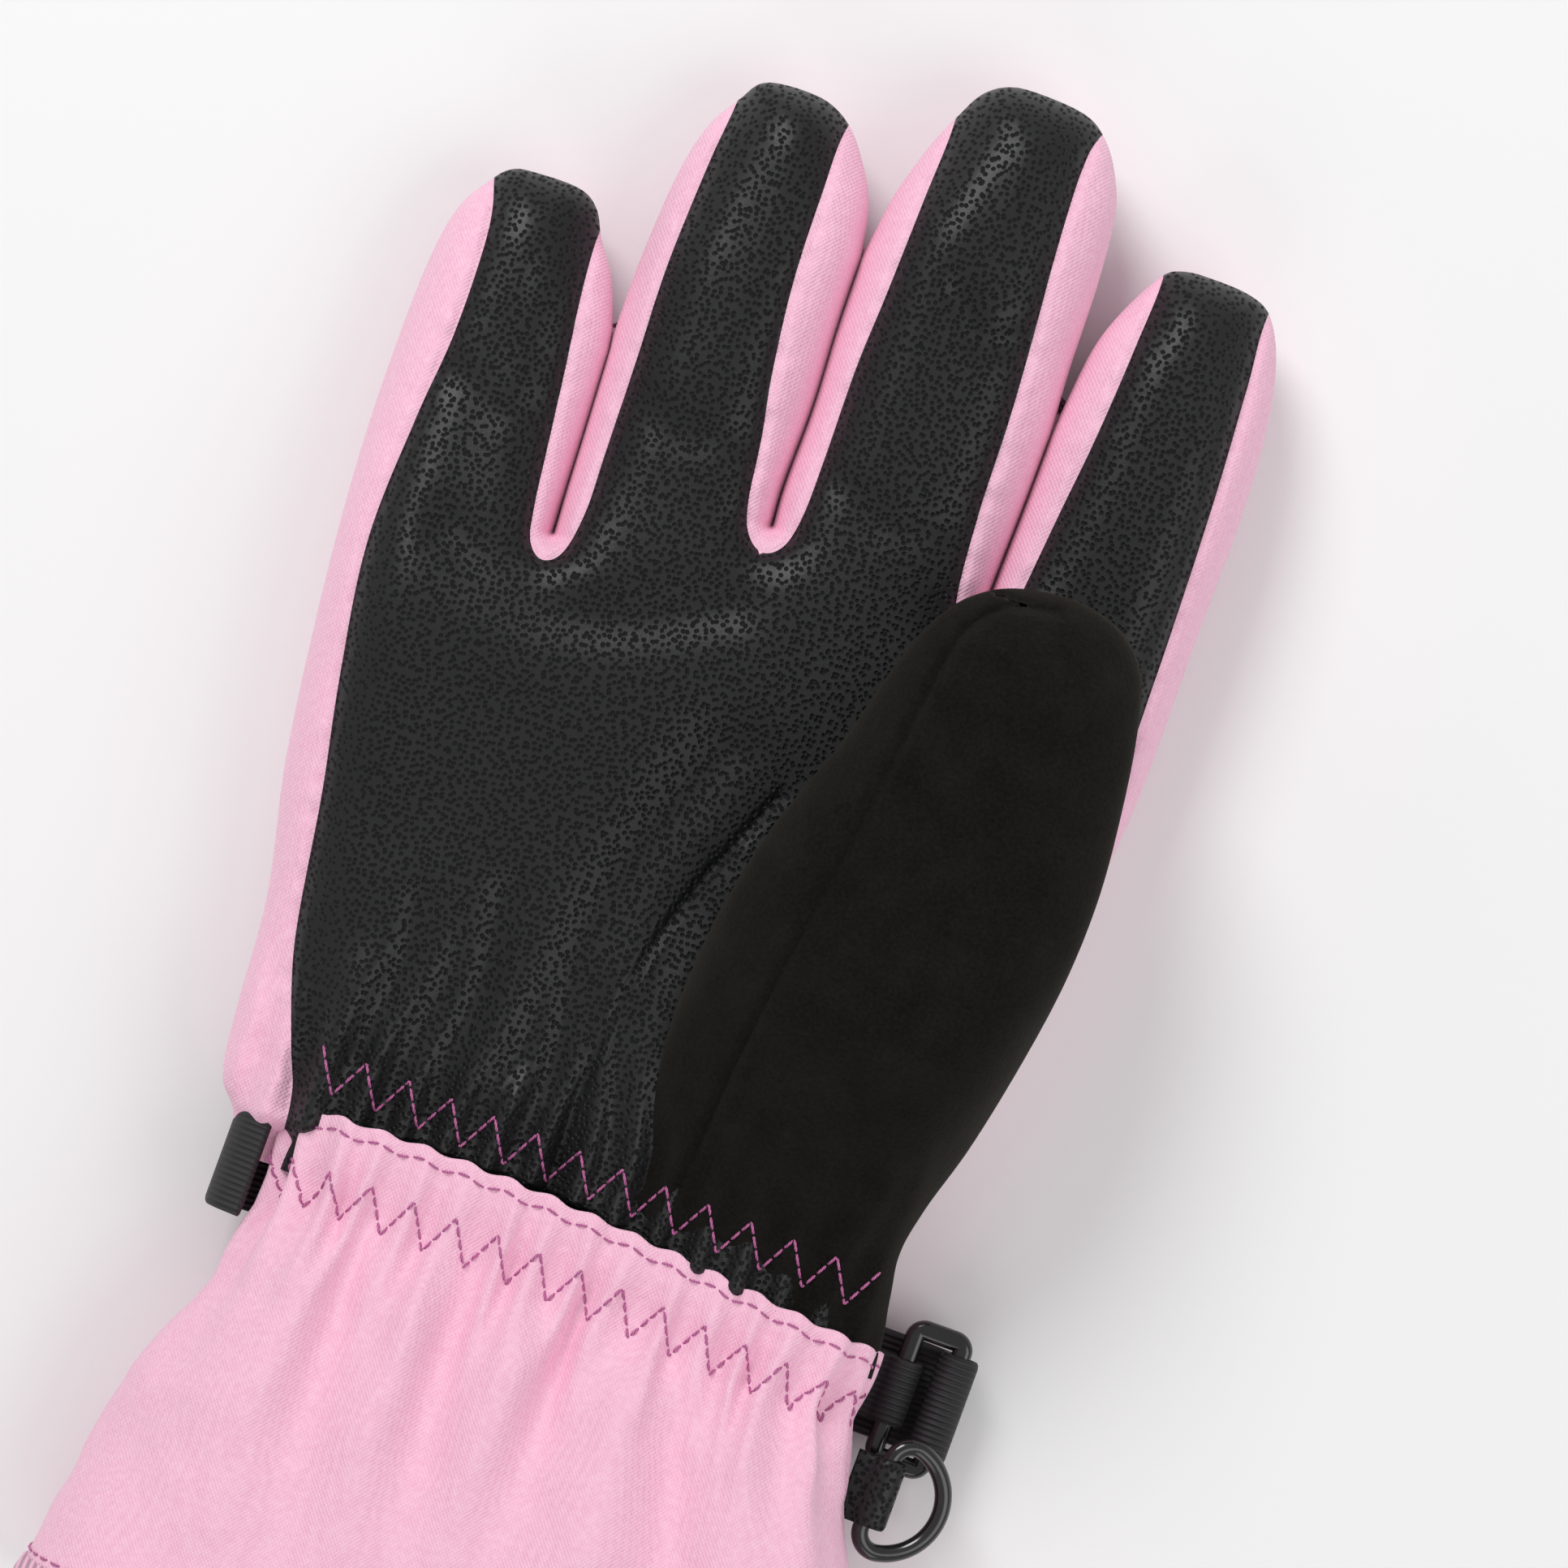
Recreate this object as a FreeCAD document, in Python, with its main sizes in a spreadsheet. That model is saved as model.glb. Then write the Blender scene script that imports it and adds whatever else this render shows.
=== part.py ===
"""A right-hand padded ski glove, lying palm up on the back of its hand.

+Z is up and faces out of the palm, +Y points to the fingertips and +X to the thumb side.
The origin is on the flat face that the glove lies on, under the middle of the hand.
The glove is a stack of sewn layers: an outer shell of panels, wadding, a waterproof membrane and
a fleece lining. Each layer is what lies between two nested hands, one inset from the other.
"""
import FreeCAD
import Part
import Sketcher
import math
import os

doc = FreeCAD.newDocument("ski_glove")

# ---------------------------------------------------------------- driving dimensions (mm)
DIMENSIONS = {
    # layers of the hand, from outside to inside
    "shell_wall": 1.2, "wadding_wall": 4.0, "membrane_wall": 0.4, "lining_wall": 1.6,
    # hand: widths, thicknesses and stations along it
    "palm_thick": 28.0, "palm_top_y": 42.0, "knuckle_y": 30.0, "palm_mid_y": -10.0,
    "palm_heel_y": -27.0, "palm_mid_width": 115.0, "palm_heel_width": 105.0,
    "palm_heel_thick": 26.0, "palm_heel_z": 14.8, "palm_mid_x": -3.4, "palm_heel_x": -2.4,
    "hand_left": -67.0, "wrist_width": 92.0, "wrist_thick": 22.6, "wrist_z": 18.0, "wrist_x": 3.0,
    "palm_seam_z": 19.0,
    "wrist_y": -44.0, "hand_end_y": -56.0, "wadding_end_y": -41.0,
    # fingers
    "finger_gap": 1.0, "finger_root_y": 18.0, "finger_lift": 0.5, "hinge_cut": 0.4, "seam_share": 0.28,
    "little_width": 29.4, "little_thick": 22.0, "little_tip": 92.6, "little_lean": -1.5,
    "ring_width": 29.6, "ring_thick": 24.0, "ring_tip": 117.3, "ring_lean": -0.8,
    "middle_width": 33.0, "middle_thick": 25.0, "middle_tip": 128.8, "middle_lean": 0.4,
    "index_width": 30.2, "index_thick": 24.0, "index_tip": 111.6, "index_lean": 1.0,
    "little_hinge": 50.0, "ring_hinge": 60.0, "middle_hinge": 60.0, "index_hinge": 61.0,
    # thumb, folded over the palm
    "thumb_width": 44.0, "thumb_thick": 22.0, "thumb_tip": 59.4, "thumb_x": 33.0, "thumb_tip_x": 36.6,
    "thumb_hinge": -8.0, "thumb_clear": 0.6, "thumb_root_x": 27.5, "thumb_root_y": -30.0,
    "thumb_heel_x": 23.0, "thumb_heel_y": -43.0,
    # gauntlet cuff
    "cuff_wall": 1.0, "cuff_lining_wall": 0.8, "cuff_gap": 0.2, "cuff_top_y": -50.0,
    "cuff_gather_y": -73.0, "cuff_mid_y": -93.0, "cuff_mid_width": 109.0, "cuff_mid_thick": 31.0,
    "cuff_mid_z": 16.6, "cuff_mid_x": 4.2, "hem_y": -129.0, "hem_width": 126.0, "hem_thick": 34.0,
    "hem_x": 4.0, "binding_depth": 4.0, "elastic_wall": 1.0, "elastic_width": 5.5,
    # wrist strap across the back of the wrist, with its hook-and-loop patches
    "strap_width": 16.0, "strap_wall": 1.3, "strap_y": -58.5, "strap_gap": 0.5, "patch_wall": 0.8,
    "patch_gap": 0.1, "patch_inset": 1.0, "patch_length": 40.0, "tail_length": 62.0, "tail_x": 46.0,
    "strap_bulge": 6.0,
    # moulded buckle that the strap turns back through, and the tab that holds it
    "buckle_bar": 3.0, "buckle_slot": 4.4, "buckle_play": 0.5, "buckle_side": 3.0,
    "buckle_x": 54.6, "buckle_z": 8.2, "buckle_corner": 3.0, "buckle_round": 0.38,
    # D-ring for hanging the pair, and the tab that holds it
    "ring_bar": 2.6, "ring_eye_length": 14.0, "ring_eye_depth": 7.5, "ring_corner": 3.0,
    "ring_x": 56.9, "ring_y": -73.0, "ring_z": 15.5, "ring_drop": 10.0, "ring_turn": 5.0,
    "tab_wall": 1.0, "tab_width": 10.0, "tab_cuff_gap": 1.9, "tab_clear": 0.25, "tab_seam_gap": 0.3,
}
sheet = doc.addObject("Spreadsheet::Sheet", "sizes")
for row, (name, value) in enumerate(DIMENSIONS.items(), start=1):
    sheet.set(f"A{row}", name)
    sheet.set(f"B{row}", str(value))
    sheet.setAlias(f"B{row}", name)
doc.recompute()

FINGERS = ["little", "ring", "middle", "index"]
# how far the hand inside each layer boundary is inset from the outside of the glove
INSETS = [
    "0",
    "sizes.shell_wall",
    "(sizes.shell_wall + sizes.wadding_wall)",
    "(sizes.shell_wall + sizes.wadding_wall + sizes.membrane_wall)",
    "(sizes.shell_wall + sizes.wadding_wall + sizes.membrane_wall + sizes.lining_wall)",
]
LAYERS = ["shell", "wadding", "membrane", "lining"]
FAR = 400.0  # size of the blocks that cut the layers into pieces, larger than the glove
outputs = {}


def cell(name):
    """The value of one driving dimension."""
    return float(sheet.get(name))


# ---------------------------------------------------------------- small builders
def stadium(name, x, y, z, width, height):
    """A flat-sided oval across the glove, as a constrained sketch. Each argument is an expression."""
    sketch = doc.addObject("Sketcher::SketchObject", name)
    up, down = FreeCAD.Vector(0, 5, 0), FreeCAD.Vector(0, -5, 0)
    right, left = FreeCAD.Vector(8, 0, 0), FreeCAD.Vector(-8, 0, 0)
    axis = FreeCAD.Vector(0, 0, 1)
    quarter = 1.5707963267948966
    sketch.addGeometry(Part.LineSegment(left + up, right + up))
    sketch.addGeometry(Part.ArcOfCircle(Part.Circle(right, axis, 5), -quarter, quarter))
    sketch.addGeometry(Part.LineSegment(right + down, left + down))
    sketch.addGeometry(Part.ArcOfCircle(Part.Circle(left, axis, 5), quarter, 3 * quarter))
    constrain = Sketcher.Constraint
    sketch.addConstraint([
        constrain("Coincident", 0, 2, 1, 2),
        constrain("Coincident", 1, 1, 2, 1),
        constrain("Coincident", 2, 2, 3, 2),
        constrain("Coincident", 3, 1, 0, 1),
        constrain("Vertical", 1, 1, 1, 3),
        constrain("Vertical", 1, 2, 1, 3),
        constrain("Vertical", 3, 1, 3, 3),
        constrain("Vertical", 3, 2, 3, 3),
        constrain("PointOnObject", 1, 3, -1),
        constrain("PointOnObject", 3, 3, -1),
        constrain("Equal", 1, 3),
        constrain("DistanceX", -1, 1, 1, 3, 8),
        constrain("DistanceX", 3, 3, -1, 1, 8),
        constrain("Radius", 1, 5),
    ])
    sketch.setExpression("Constraints[11]", f"(({width}) - ({height})) / 2")
    sketch.setExpression("Constraints[12]", f"(({width}) - ({height})) / 2")
    sketch.setExpression("Constraints[13]", f"({height}) / 2")
    sketch.Placement = FreeCAD.Placement(
        FreeCAD.Vector(0, 0, 0), FreeCAD.Rotation(FreeCAD.Vector(1, 0, 0), 90))
    for key, value in (("x", x), ("y", y), ("z", z)):
        sketch.setExpression(f"Placement.Base.{key}", value)
    return sketch


def loft(name, stations):
    """A ruled solid through ovals. Each station is (x, y, z, width, height), as expressions."""
    solid = doc.addObject("Part::Loft", name)
    solid.Sections = [stadium(f"{name}_{i}", *s) for i, s in enumerate(stations)]
    solid.Solid = True
    solid.Ruled = True
    return solid


def block(name, x, y, z, length, width, height):
    """A box from its lowest corner and sizes, each an expression."""
    box = doc.addObject("Part::Box", name)
    for key, value in (("Length", length), ("Width", width), ("Height", height)):
        box.setExpression(key, value)
    for key, value in (("x", x), ("y", y), ("z", z)):
        box.setExpression(f"Placement.Base.{key}", value)
    return box


def cut(name, base, tool):
    result = doc.addObject("Part::Cut", name)
    result.Base, result.Tool = base, tool
    return result


def common(name, base, tool):
    result = doc.addObject("Part::Common", name)
    result.Base, result.Tool = base, tool
    return result


def fuse(name, shapes):
    result = doc.addObject("Part::MultiFuse", name)
    result.Shapes = shapes
    return result


def output(label, piece):
    """Names a finished sub-part. Its file has the same name."""
    piece.Label = label
    outputs[label] = piece
    return piece


TOUCH = 1e-4  # how near Z = 0 a face counts as lying on it, mm

# ---------------------------------------------------------------- the nested hands
def finger_centre(finger):
    """Expression for the middle of a finger across the hand: the fingers stand side by side."""
    before = FINGERS[:FINGERS.index(finger)]
    terms = ["sizes.hand_left"] + [f"sizes.{f}_width + sizes.finger_gap" for f in before]
    return "(" + " + ".join(terms) + f" + sizes.{finger}_width / 2)"


KNUCKLE_WIDTH = "(" + " + ".join(f"sizes.{f}_width" for f in FINGERS) + " + 3 * sizes.finger_gap)"
KNUCKLE_X = f"(sizes.hand_left + {KNUCKLE_WIDTH} / 2)"
THUMB_Z = "(sizes.palm_thick + sizes.thumb_clear + sizes.thumb_thick / 2)"


def hand_slab(level, inset):
    wide, thick = f"- 2 * {inset}", f"- 2 * {inset}"
    return loft(f"slab_{level}", [
        ("sizes.wrist_x", "sizes.hand_end_y", "sizes.wrist_z",
         f"sizes.wrist_width {wide}", f"sizes.wrist_thick {thick}"),
        ("sizes.wrist_x", "sizes.wrist_y", "sizes.wrist_z",
         f"sizes.wrist_width {wide}", f"sizes.wrist_thick {thick}"),
        ("sizes.palm_heel_x", "sizes.palm_heel_y", "sizes.palm_heel_z",
         f"sizes.palm_heel_width {wide}", f"sizes.palm_heel_thick {thick}"),
        ("sizes.palm_mid_x", "sizes.palm_mid_y", "sizes.palm_thick / 2",
         f"sizes.palm_mid_width {wide}", f"sizes.palm_thick {thick}"),
        (KNUCKLE_X, "sizes.knuckle_y", "sizes.palm_thick / 2",
         f"{KNUCKLE_WIDTH} {wide}", f"sizes.palm_thick {thick}"),
        (KNUCKLE_X, f"sizes.palm_top_y - {inset}", "sizes.palm_thick / 2 - 1",
         f"{KNUCKLE_WIDTH} - 1 {wide}", f"sizes.palm_thick - 4 {thick}"),
    ])


def finger_core(finger, level, inset):
    """Stations run from inside the palm to the blunt fingertip; the last three shape the tip."""
    x, lean = finger_centre(finger), f"sizes.{finger}_lean"
    z = f"sizes.{finger}_thick / 2 + sizes.finger_lift"
    wide = f"(sizes.{finger}_width - 2 * {inset})"
    thick = f"(sizes.{finger}_thick - 2 * {inset})"
    tip = f"sizes.{finger}_tip - {inset}"
    return loft(f"{finger}_core_{level}", [
        (x, "sizes.finger_root_y", z, wide, thick),
        (x, f"sizes.{finger}_hinge", z, wide, thick),
        (f"{x} + {lean} / 2", f"{tip} - 20", z, wide, thick),
        (f"{x} + {lean}", f"{tip} - 10", z, f"0.88 * {wide}", f"0.92 * {thick}"),
        (f"{x} + {lean}", f"{tip} - 3", z, f"0.68 * {wide}", f"0.74 * {thick}"),
        (f"{x} + {lean}", tip, z, f"0.42 * {wide}", f"0.42 * {thick}"),
    ])


def thumb_core(level, inset):
    """The thumb rises out of the heel of the palm and lies over it."""
    wide = f"(sizes.thumb_width - 2 * {inset})"
    thick = f"(sizes.thumb_thick - 2 * {inset})"
    tip = f"sizes.thumb_tip - {inset}"
    return loft(f"thumb_core_{level}", [
        ("sizes.thumb_heel_x", f"sizes.thumb_heel_y + {inset}", "sizes.wrist_z - 1",
         f"0.8 * {wide}", f"0.8 * {thick}"),
        ("sizes.thumb_root_x", "sizes.thumb_root_y", "sizes.palm_thick - 3", f"0.95 * {wide}", thick),
        ("sizes.thumb_x - 2", "sizes.thumb_hinge", THUMB_Z, wide, thick),
        ("sizes.thumb_x", f"{tip} - 35", THUMB_Z, wide, thick),
        ("sizes.thumb_tip_x - 1", f"{tip} - 14", THUMB_Z, f"0.84 * {wide}", f"0.95 * {thick}"),
        ("sizes.thumb_tip_x", f"{tip} - 4", THUMB_Z, f"0.6 * {wide}", f"0.72 * {thick}"),
        ("sizes.thumb_tip_x", tip, THUMB_Z, f"0.36 * {wide}", f"0.4 * {thick}"),
    ])


def nested_hand(level, inset):
    cores = [hand_slab(level, inset), thumb_core(level, inset)]
    cores += [finger_core(f, level, inset) for f in FINGERS]
    return fuse(f"hand_{level}", cores)


hands = [nested_hand(level, inset) for level, inset in enumerate(INSETS)]

slabs = [hand.Shapes[0] for hand in hands]
thumbs = [hand.Shapes[1] for hand in hands]
layers = {
    name: cut(f"layer_{name}", hands[i], hands[i + 1]) for i, name in enumerate(LAYERS)
}
THUMB_FLOOR = "(sizes.palm_thick + sizes.thumb_clear / 2)"


def digit_block(name, digit, setback, low="-20", high=str(FAR)):
    """The space of one digit beyond its hinge, between two heights."""
    if digit == "thumb":
        x, wide = str(-FAR / 2), str(FAR)
        low = low if low != "-20" else THUMB_FLOOR
    else:
        half = f"(sizes.{digit}_width + sizes.finger_gap) / 2"
        x = str(-FAR / 2) if digit == FINGERS[0] else f"({finger_centre(digit)} - {half})"
        end = str(FAR / 2) if digit == FINGERS[-1] else f"{finger_centre(digit)} + {half}"
        wide = f"{end} - {x}"
        high = high if high != str(FAR) else "sizes.palm_thick"
    return block(name, x, f"sizes.{digit}_hinge - {setback}", low, wide, str(FAR), f"{high} - ({low})")


def digit_pieces(digit, middle_z, thick, panel_names):
    """All the layers of one digit. Its shell is a front, a back and the side wall between them."""
    seam = f"sizes.seam_share * sizes.{digit}_thick"
    whole = digit_block(f"{digit}_space", digit, "0")
    for layer in LAYERS[1:]:
        output(f"{digit}_{layer}", common(f"{digit}_{layer}", layers[layer], whole))
    bands = [
        (f"{middle_z} + {seam}", str(FAR / 4)),
        (f"{middle_z} - {seam}", f"({middle_z} + {seam})"),
        ("-20" if digit != "thumb" else THUMB_FLOOR, f"({middle_z} - {seam})"),
    ]
    for panel, (low, high) in zip(panel_names, bands):
        band = digit_block(f"{panel}_space", digit, "0", low, high)
        output(panel, common(panel, layers["shell"], band))


DIGITS = FINGERS + ["thumb"]
for finger in FINGERS:
    digit_pieces(finger, f"(sizes.{finger}_thick / 2 + sizes.finger_lift)", f"sizes.{finger}_thick",
                 [f"{finger}_front_panel", f"{finger}_side_walls", f"{finger}_back_panel"])
digit_pieces("thumb", THUMB_Z, "sizes.thumb_thick",
             ["thumb_front_panel", "thumb_gusset", "thumb_back_panel"])

# ---------------------------------------------------------------- hand body
beyond_hinges = fuse("beyond_hinges", [digit_block(f"{d}_clear", d, "sizes.hinge_cut") for d in DIGITS])
hand_layers = {name: cut(f"hand_{name}_layer", layers[name], beyond_hinges) for name in LAYERS}
padded_part = block("padded_part", str(-FAR / 2), "sizes.wadding_end_y", "-20", str(FAR), str(FAR), str(FAR))
output("hand_wadding", common("hand_wadding", hand_layers["wadding"], padded_part))
output("hand_membrane", common("hand_membrane", hand_layers["membrane"], padded_part))
output("hand_lining", hand_layers["lining"])
output("thumb_root_panel", common("thumb_root_panel", hand_layers["shell"], thumbs[0]))
hand_shell = cut("hand_shell", hand_layers["shell"], thumbs[0])
above_seam = block("above_seam", str(-FAR / 2), str(-FAR / 2), "sizes.palm_seam_z", str(FAR), str(FAR), str(FAR))
output("palm_panel", common("palm_panel", hand_shell, above_seam))


def with_resting_plane(shape):
    """The same solid, with its flat lofted face at Z = 0 held as a true plane: the face it rests on."""
    lofted = max((f for f in shape.Faces if abs(f.CenterOfMass.z) < TOUCH), key=lambda f: f.Area)
    plane = Part.Face(Part.Plane(FreeCAD.Vector(0, 0, 0), FreeCAD.Vector(0, 0, 1)), lofted.OuterWire)
    plane.reverse()
    return Part.Solid(Part.Shell([f for f in shape.Faces if not f.isSame(lofted)] + [plane]))


back_lofted = cut("back_panel_lofted", hand_shell, above_seam)
doc.recompute()
back_panel = doc.addObject("Part::Feature", "back_panel")
back_panel.Shape = with_resting_plane(back_lofted.Shape)
output("back_panel", back_panel)


def slab_band(name, outer, inner, low_y, width):
    """A ring of the hand or cuff between two nested solids, over a stretch of its length."""
    ring = cut(f"{name}_ring", outer, inner)
    stretch = block(f"{name}_stretch", str(-FAR / 2), low_y, "-20", str(FAR), width, str(FAR))
    return output(name, common(name, ring, stretch))


elastic_inner = hand_slab("elastic", "(sizes.shell_wall + sizes.elastic_wall)")
slab_band("wrist_elastic", slabs[1], elastic_inner, "sizes.wrist_y - 0.5 - sizes.elastic_width",
          "sizes.elastic_width")

# ---------------------------------------------------------------- gauntlet cuff
CUFF_OUTSET = "2 * (sizes.cuff_wall + sizes.cuff_gap)"


def cuff_core(name, inset):
    narrow = (f"sizes.wrist_width + {CUFF_OUTSET} - 2 * {inset}",
              f"sizes.wrist_thick + {CUFF_OUTSET} - 2 * {inset}")
    return loft(name, [
        ("sizes.wrist_x", "sizes.cuff_top_y", "sizes.wrist_z", *narrow),
        ("sizes.wrist_x", "sizes.cuff_gather_y", "sizes.wrist_z", *narrow),
        ("sizes.cuff_mid_x", "sizes.cuff_mid_y", "sizes.cuff_mid_z",
         f"sizes.cuff_mid_width - 2 * {inset}", f"sizes.cuff_mid_thick - 2 * {inset}"),
        ("sizes.hem_x", "sizes.hem_y", "sizes.hem_thick / 2",
         f"sizes.hem_width - 2 * {inset}", f"sizes.hem_thick - 2 * {inset}"),
    ])


def cuff_lining_core(name, inset):
    """The cuff lining narrows at its top to meet the end of the hand's lining."""
    inside = f"2 * (sizes.cuff_wall + sizes.cuff_gap + {inset})"
    throat = f"2 * ({INSETS[3]} + {inset})"
    return loft(name, [
        ("sizes.wrist_x", "sizes.hand_end_y - sizes.cuff_gap", "sizes.wrist_z",
         f"sizes.wrist_width - {throat}", f"sizes.wrist_thick - {throat}"),
        ("sizes.wrist_x", "sizes.cuff_gather_y", "sizes.wrist_z",
         f"sizes.wrist_width + {CUFF_OUTSET} - {inside}", f"sizes.wrist_thick + {CUFF_OUTSET} - {inside}"),
        ("sizes.cuff_mid_x", "sizes.cuff_mid_y", "sizes.cuff_mid_z",
         f"sizes.cuff_mid_width - {inside}", f"sizes.cuff_mid_thick - {inside}"),
        ("sizes.hem_x", "sizes.hem_y", "sizes.hem_thick / 2",
         f"sizes.hem_width - {inside}", f"sizes.hem_thick - {inside}"),
    ])


CUFF_LENGTH = "sizes.cuff_top_y - sizes.hem_y - sizes.binding_depth - sizes.cuff_gap"
cuff_outer = cuff_core("cuff_outer", "0")
cuff_inner = cuff_core("cuff_inner", "sizes.cuff_wall")
cuff_elastic_inner = cuff_core("cuff_elastic_inner", "(sizes.cuff_wall + sizes.elastic_wall)")
lining_outer = cuff_lining_core("lining_outer", "0")
lining_inner = cuff_lining_core("lining_inner", "sizes.cuff_lining_wall")
ABOVE_BINDING = "sizes.hem_y + sizes.binding_depth + sizes.cuff_gap"
slab_band("cuff_shell", cuff_outer, cuff_inner, ABOVE_BINDING, CUFF_LENGTH)
slab_band("cuff_lining", lining_outer, lining_inner, ABOVE_BINDING, CUFF_LENGTH)
slab_band("cuff_hem_binding", cuff_outer, lining_inner, "sizes.hem_y", "sizes.binding_depth")
slab_band("cuff_elastic", cuff_inner, cuff_elastic_inner,
          "sizes.hand_end_y - sizes.cuff_gap - sizes.elastic_width", "sizes.elastic_width")

# ---------------------------------------------------------------- wrist strap
wall = cell("strap_wall")
cuff_left = cell("wrist_x") - cell("wrist_width") / 2 - cell("cuff_wall") - cell("cuff_gap")
cuff_floor = cell("wrist_z") - cell("wrist_thick") / 2 - cell("cuff_wall") - cell("cuff_gap")
strap_z = cuff_floor - cell("strap_gap") - wall / 2
patch_stack = 2 * cell("patch_wall") + cell("patch_gap")
tail_z = strap_z - wall - patch_stack
strap_low_y = cell("strap_y") - cell("strap_width") / 2
bar = cell("buckle_bar")
outer_bar_x = cell("buckle_x") + bar + cell("buckle_slot")
buckle_z = cell("buckle_z")
turn = bar / 2 + cell("tab_clear") + wall / 2  # from the outer bar's centre to the strap's centre line


def band(points, thickness, low_y, width):
    """A strip of webbing that follows points (x, z), thickness thick, extruded along Y."""
    line = [FreeCAD.Vector(x, 0, z) for x, z in points]
    sides = ([], [])
    for i, p in enumerate(line):
        along = [(line[j + 1] - line[j]).normalize() for j in (i - 1, i) if 0 <= j < len(line) - 1]
        normals = [FreeCAD.Vector(-a.z, 0, a.x) for a in along]
        miter = normals[0] + normals[-1]
        miter = miter * (thickness / miter.dot(normals[0]) / 2)
        sides[0].append(p + miter)
        sides[1].append(p - miter)
    ring = sides[0] + sides[1][::-1]
    face = Part.Face(Part.makePolygon(ring + ring[:1]))
    solid = face.extrude(FreeCAD.Vector(0, width, 0))
    solid.translate(FreeCAD.Vector(0, low_y, 0))
    return solid


def feature(label, shape):
    piece = doc.addObject("Part::Feature", label)
    piece.Shape = shape
    return output(label, piece)


def turn_round(x, z, radius, start, end, steps=8):
    """Points of a bend about (x, z), just outside the given radius between points."""
    span = math.radians(end - start) / steps
    reach = radius / math.cos(span / 2)
    angles = [math.radians(start) + span * i for i in range(steps + 1)]
    return [(x + reach * math.cos(a), z + reach * math.sin(a)) for a in angles]


bulge = cuff_left - cell("strap_bulge")
strap_path = [
    (cuff_left - wall, cell("wrist_z") + 5), (bulge + 1.5, cell("wrist_z") + 3),
    (bulge, cell("wrist_z") - 1), (bulge + 1, strap_z + 5), (bulge + 4.5, strap_z + 1.4),
    (bulge + 9, strap_z), (cell("buckle_x") + bar / 2, strap_z),
    *turn_round(outer_bar_x, buckle_z, turn, 205, -55),
    (cell("buckle_x") + bar / 2 + 1, tail_z + 0.6), (cell("tail_x") + 2, tail_z),
    (cell("tail_x") + cell("patch_gap"), tail_z),
]
feature("wrist_strap", band(strap_path, wall, strap_low_y, cell("strap_width")))
tail_end = cell("tail_x") - cell("tail_length")
feature("strap_tail", band([(cell("tail_x"), tail_z), (tail_end, tail_z)], wall, strap_low_y, cell("strap_width")))

PATCH_Y = "sizes.strap_y - sizes.strap_width / 2 + sizes.patch_inset"
PATCH_X = "sizes.tail_x - sizes.tail_length + sizes.patch_inset"
PATCH_W = "sizes.strap_width - 2 * sizes.patch_inset"
output("loop_patch", block("loop_patch", PATCH_X, PATCH_Y, f"{strap_z - wall / 2} - sizes.patch_wall",
                           "sizes.patch_length", PATCH_W, "sizes.patch_wall"))
output("hook_patch", block("hook_patch", PATCH_X, PATCH_Y, str(tail_z + wall / 2),
                           "sizes.patch_length", PATCH_W, "sizes.patch_wall"))

# ---------------------------------------------------------------- buckle
BUCKLE_LENGTH = "(2 * sizes.buckle_bar + sizes.buckle_slot)"
BUCKLE_WIDTH = "(sizes.strap_width + 2 * sizes.buckle_play + 2 * sizes.buckle_side)"


def rectangle(body, name, length, width):
    """A centred rectangle on the body's XY plane, as a constrained sketch."""
    sketch = body.newObject("Sketcher::SketchObject", name)
    plane = [o for o in body.Origin.OriginFeatures if o.Role == "XY_Plane"][0]
    sketch.AttachmentSupport = [(plane, "")]
    sketch.MapMode = "FlatFace"
    corners = [FreeCAD.Vector(x, y, 0) for x, y in ((-5, -9), (5, -9), (5, 9), (-5, 9))]
    for i in range(4):
        sketch.addGeometry(Part.LineSegment(corners[i], corners[(i + 1) % 4]))
    constrain = Sketcher.Constraint
    sketch.addConstraint([constrain("Coincident", i, 2, (i + 1) % 4, 1) for i in range(4)])
    sketch.addConstraint([
        constrain("Horizontal", 0), constrain("Vertical", 1), constrain("Horizontal", 2),
        constrain("Vertical", 3), constrain("Symmetric", 0, 1, 1, 2, -1, 1),
        constrain("DistanceX", 0, 1, 0, 2, 10), constrain("DistanceY", 1, 1, 1, 2, 18),
    ])
    sketch.setExpression("Constraints[9]", length)
    sketch.setExpression("Constraints[10]", width)
    return sketch


buckle = doc.addObject("PartDesign::Body", "buckle")
frame = buckle.newObject("PartDesign::Pad", "buckle_frame")
frame.Profile = rectangle(buckle, "buckle_outline", BUCKLE_LENGTH, BUCKLE_WIDTH)
frame.Midplane = True
frame.setExpression("Length", "sizes.buckle_bar")
slot = buckle.newObject("PartDesign::Pocket", "buckle_slot")
slot.Profile = rectangle(buckle, "slot_outline", "sizes.buckle_slot",
                         "sizes.strap_width + 2 * sizes.buckle_play")
slot.Midplane = True
slot.Type = "ThroughAll"
doc.recompute()


def edges_where(shape, test):
    return [f"Edge{i}" for i, e in enumerate(shape.Edges, start=1) if test(e)]


half_length = bar + cell("buckle_slot") / 2


def upright_corner(edge):
    """The four outside corner edges of the frame."""
    box = edge.BoundBox
    return box.ZLength > bar / 2 and abs(abs(box.Center.x) - half_length) < 0.01


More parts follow.
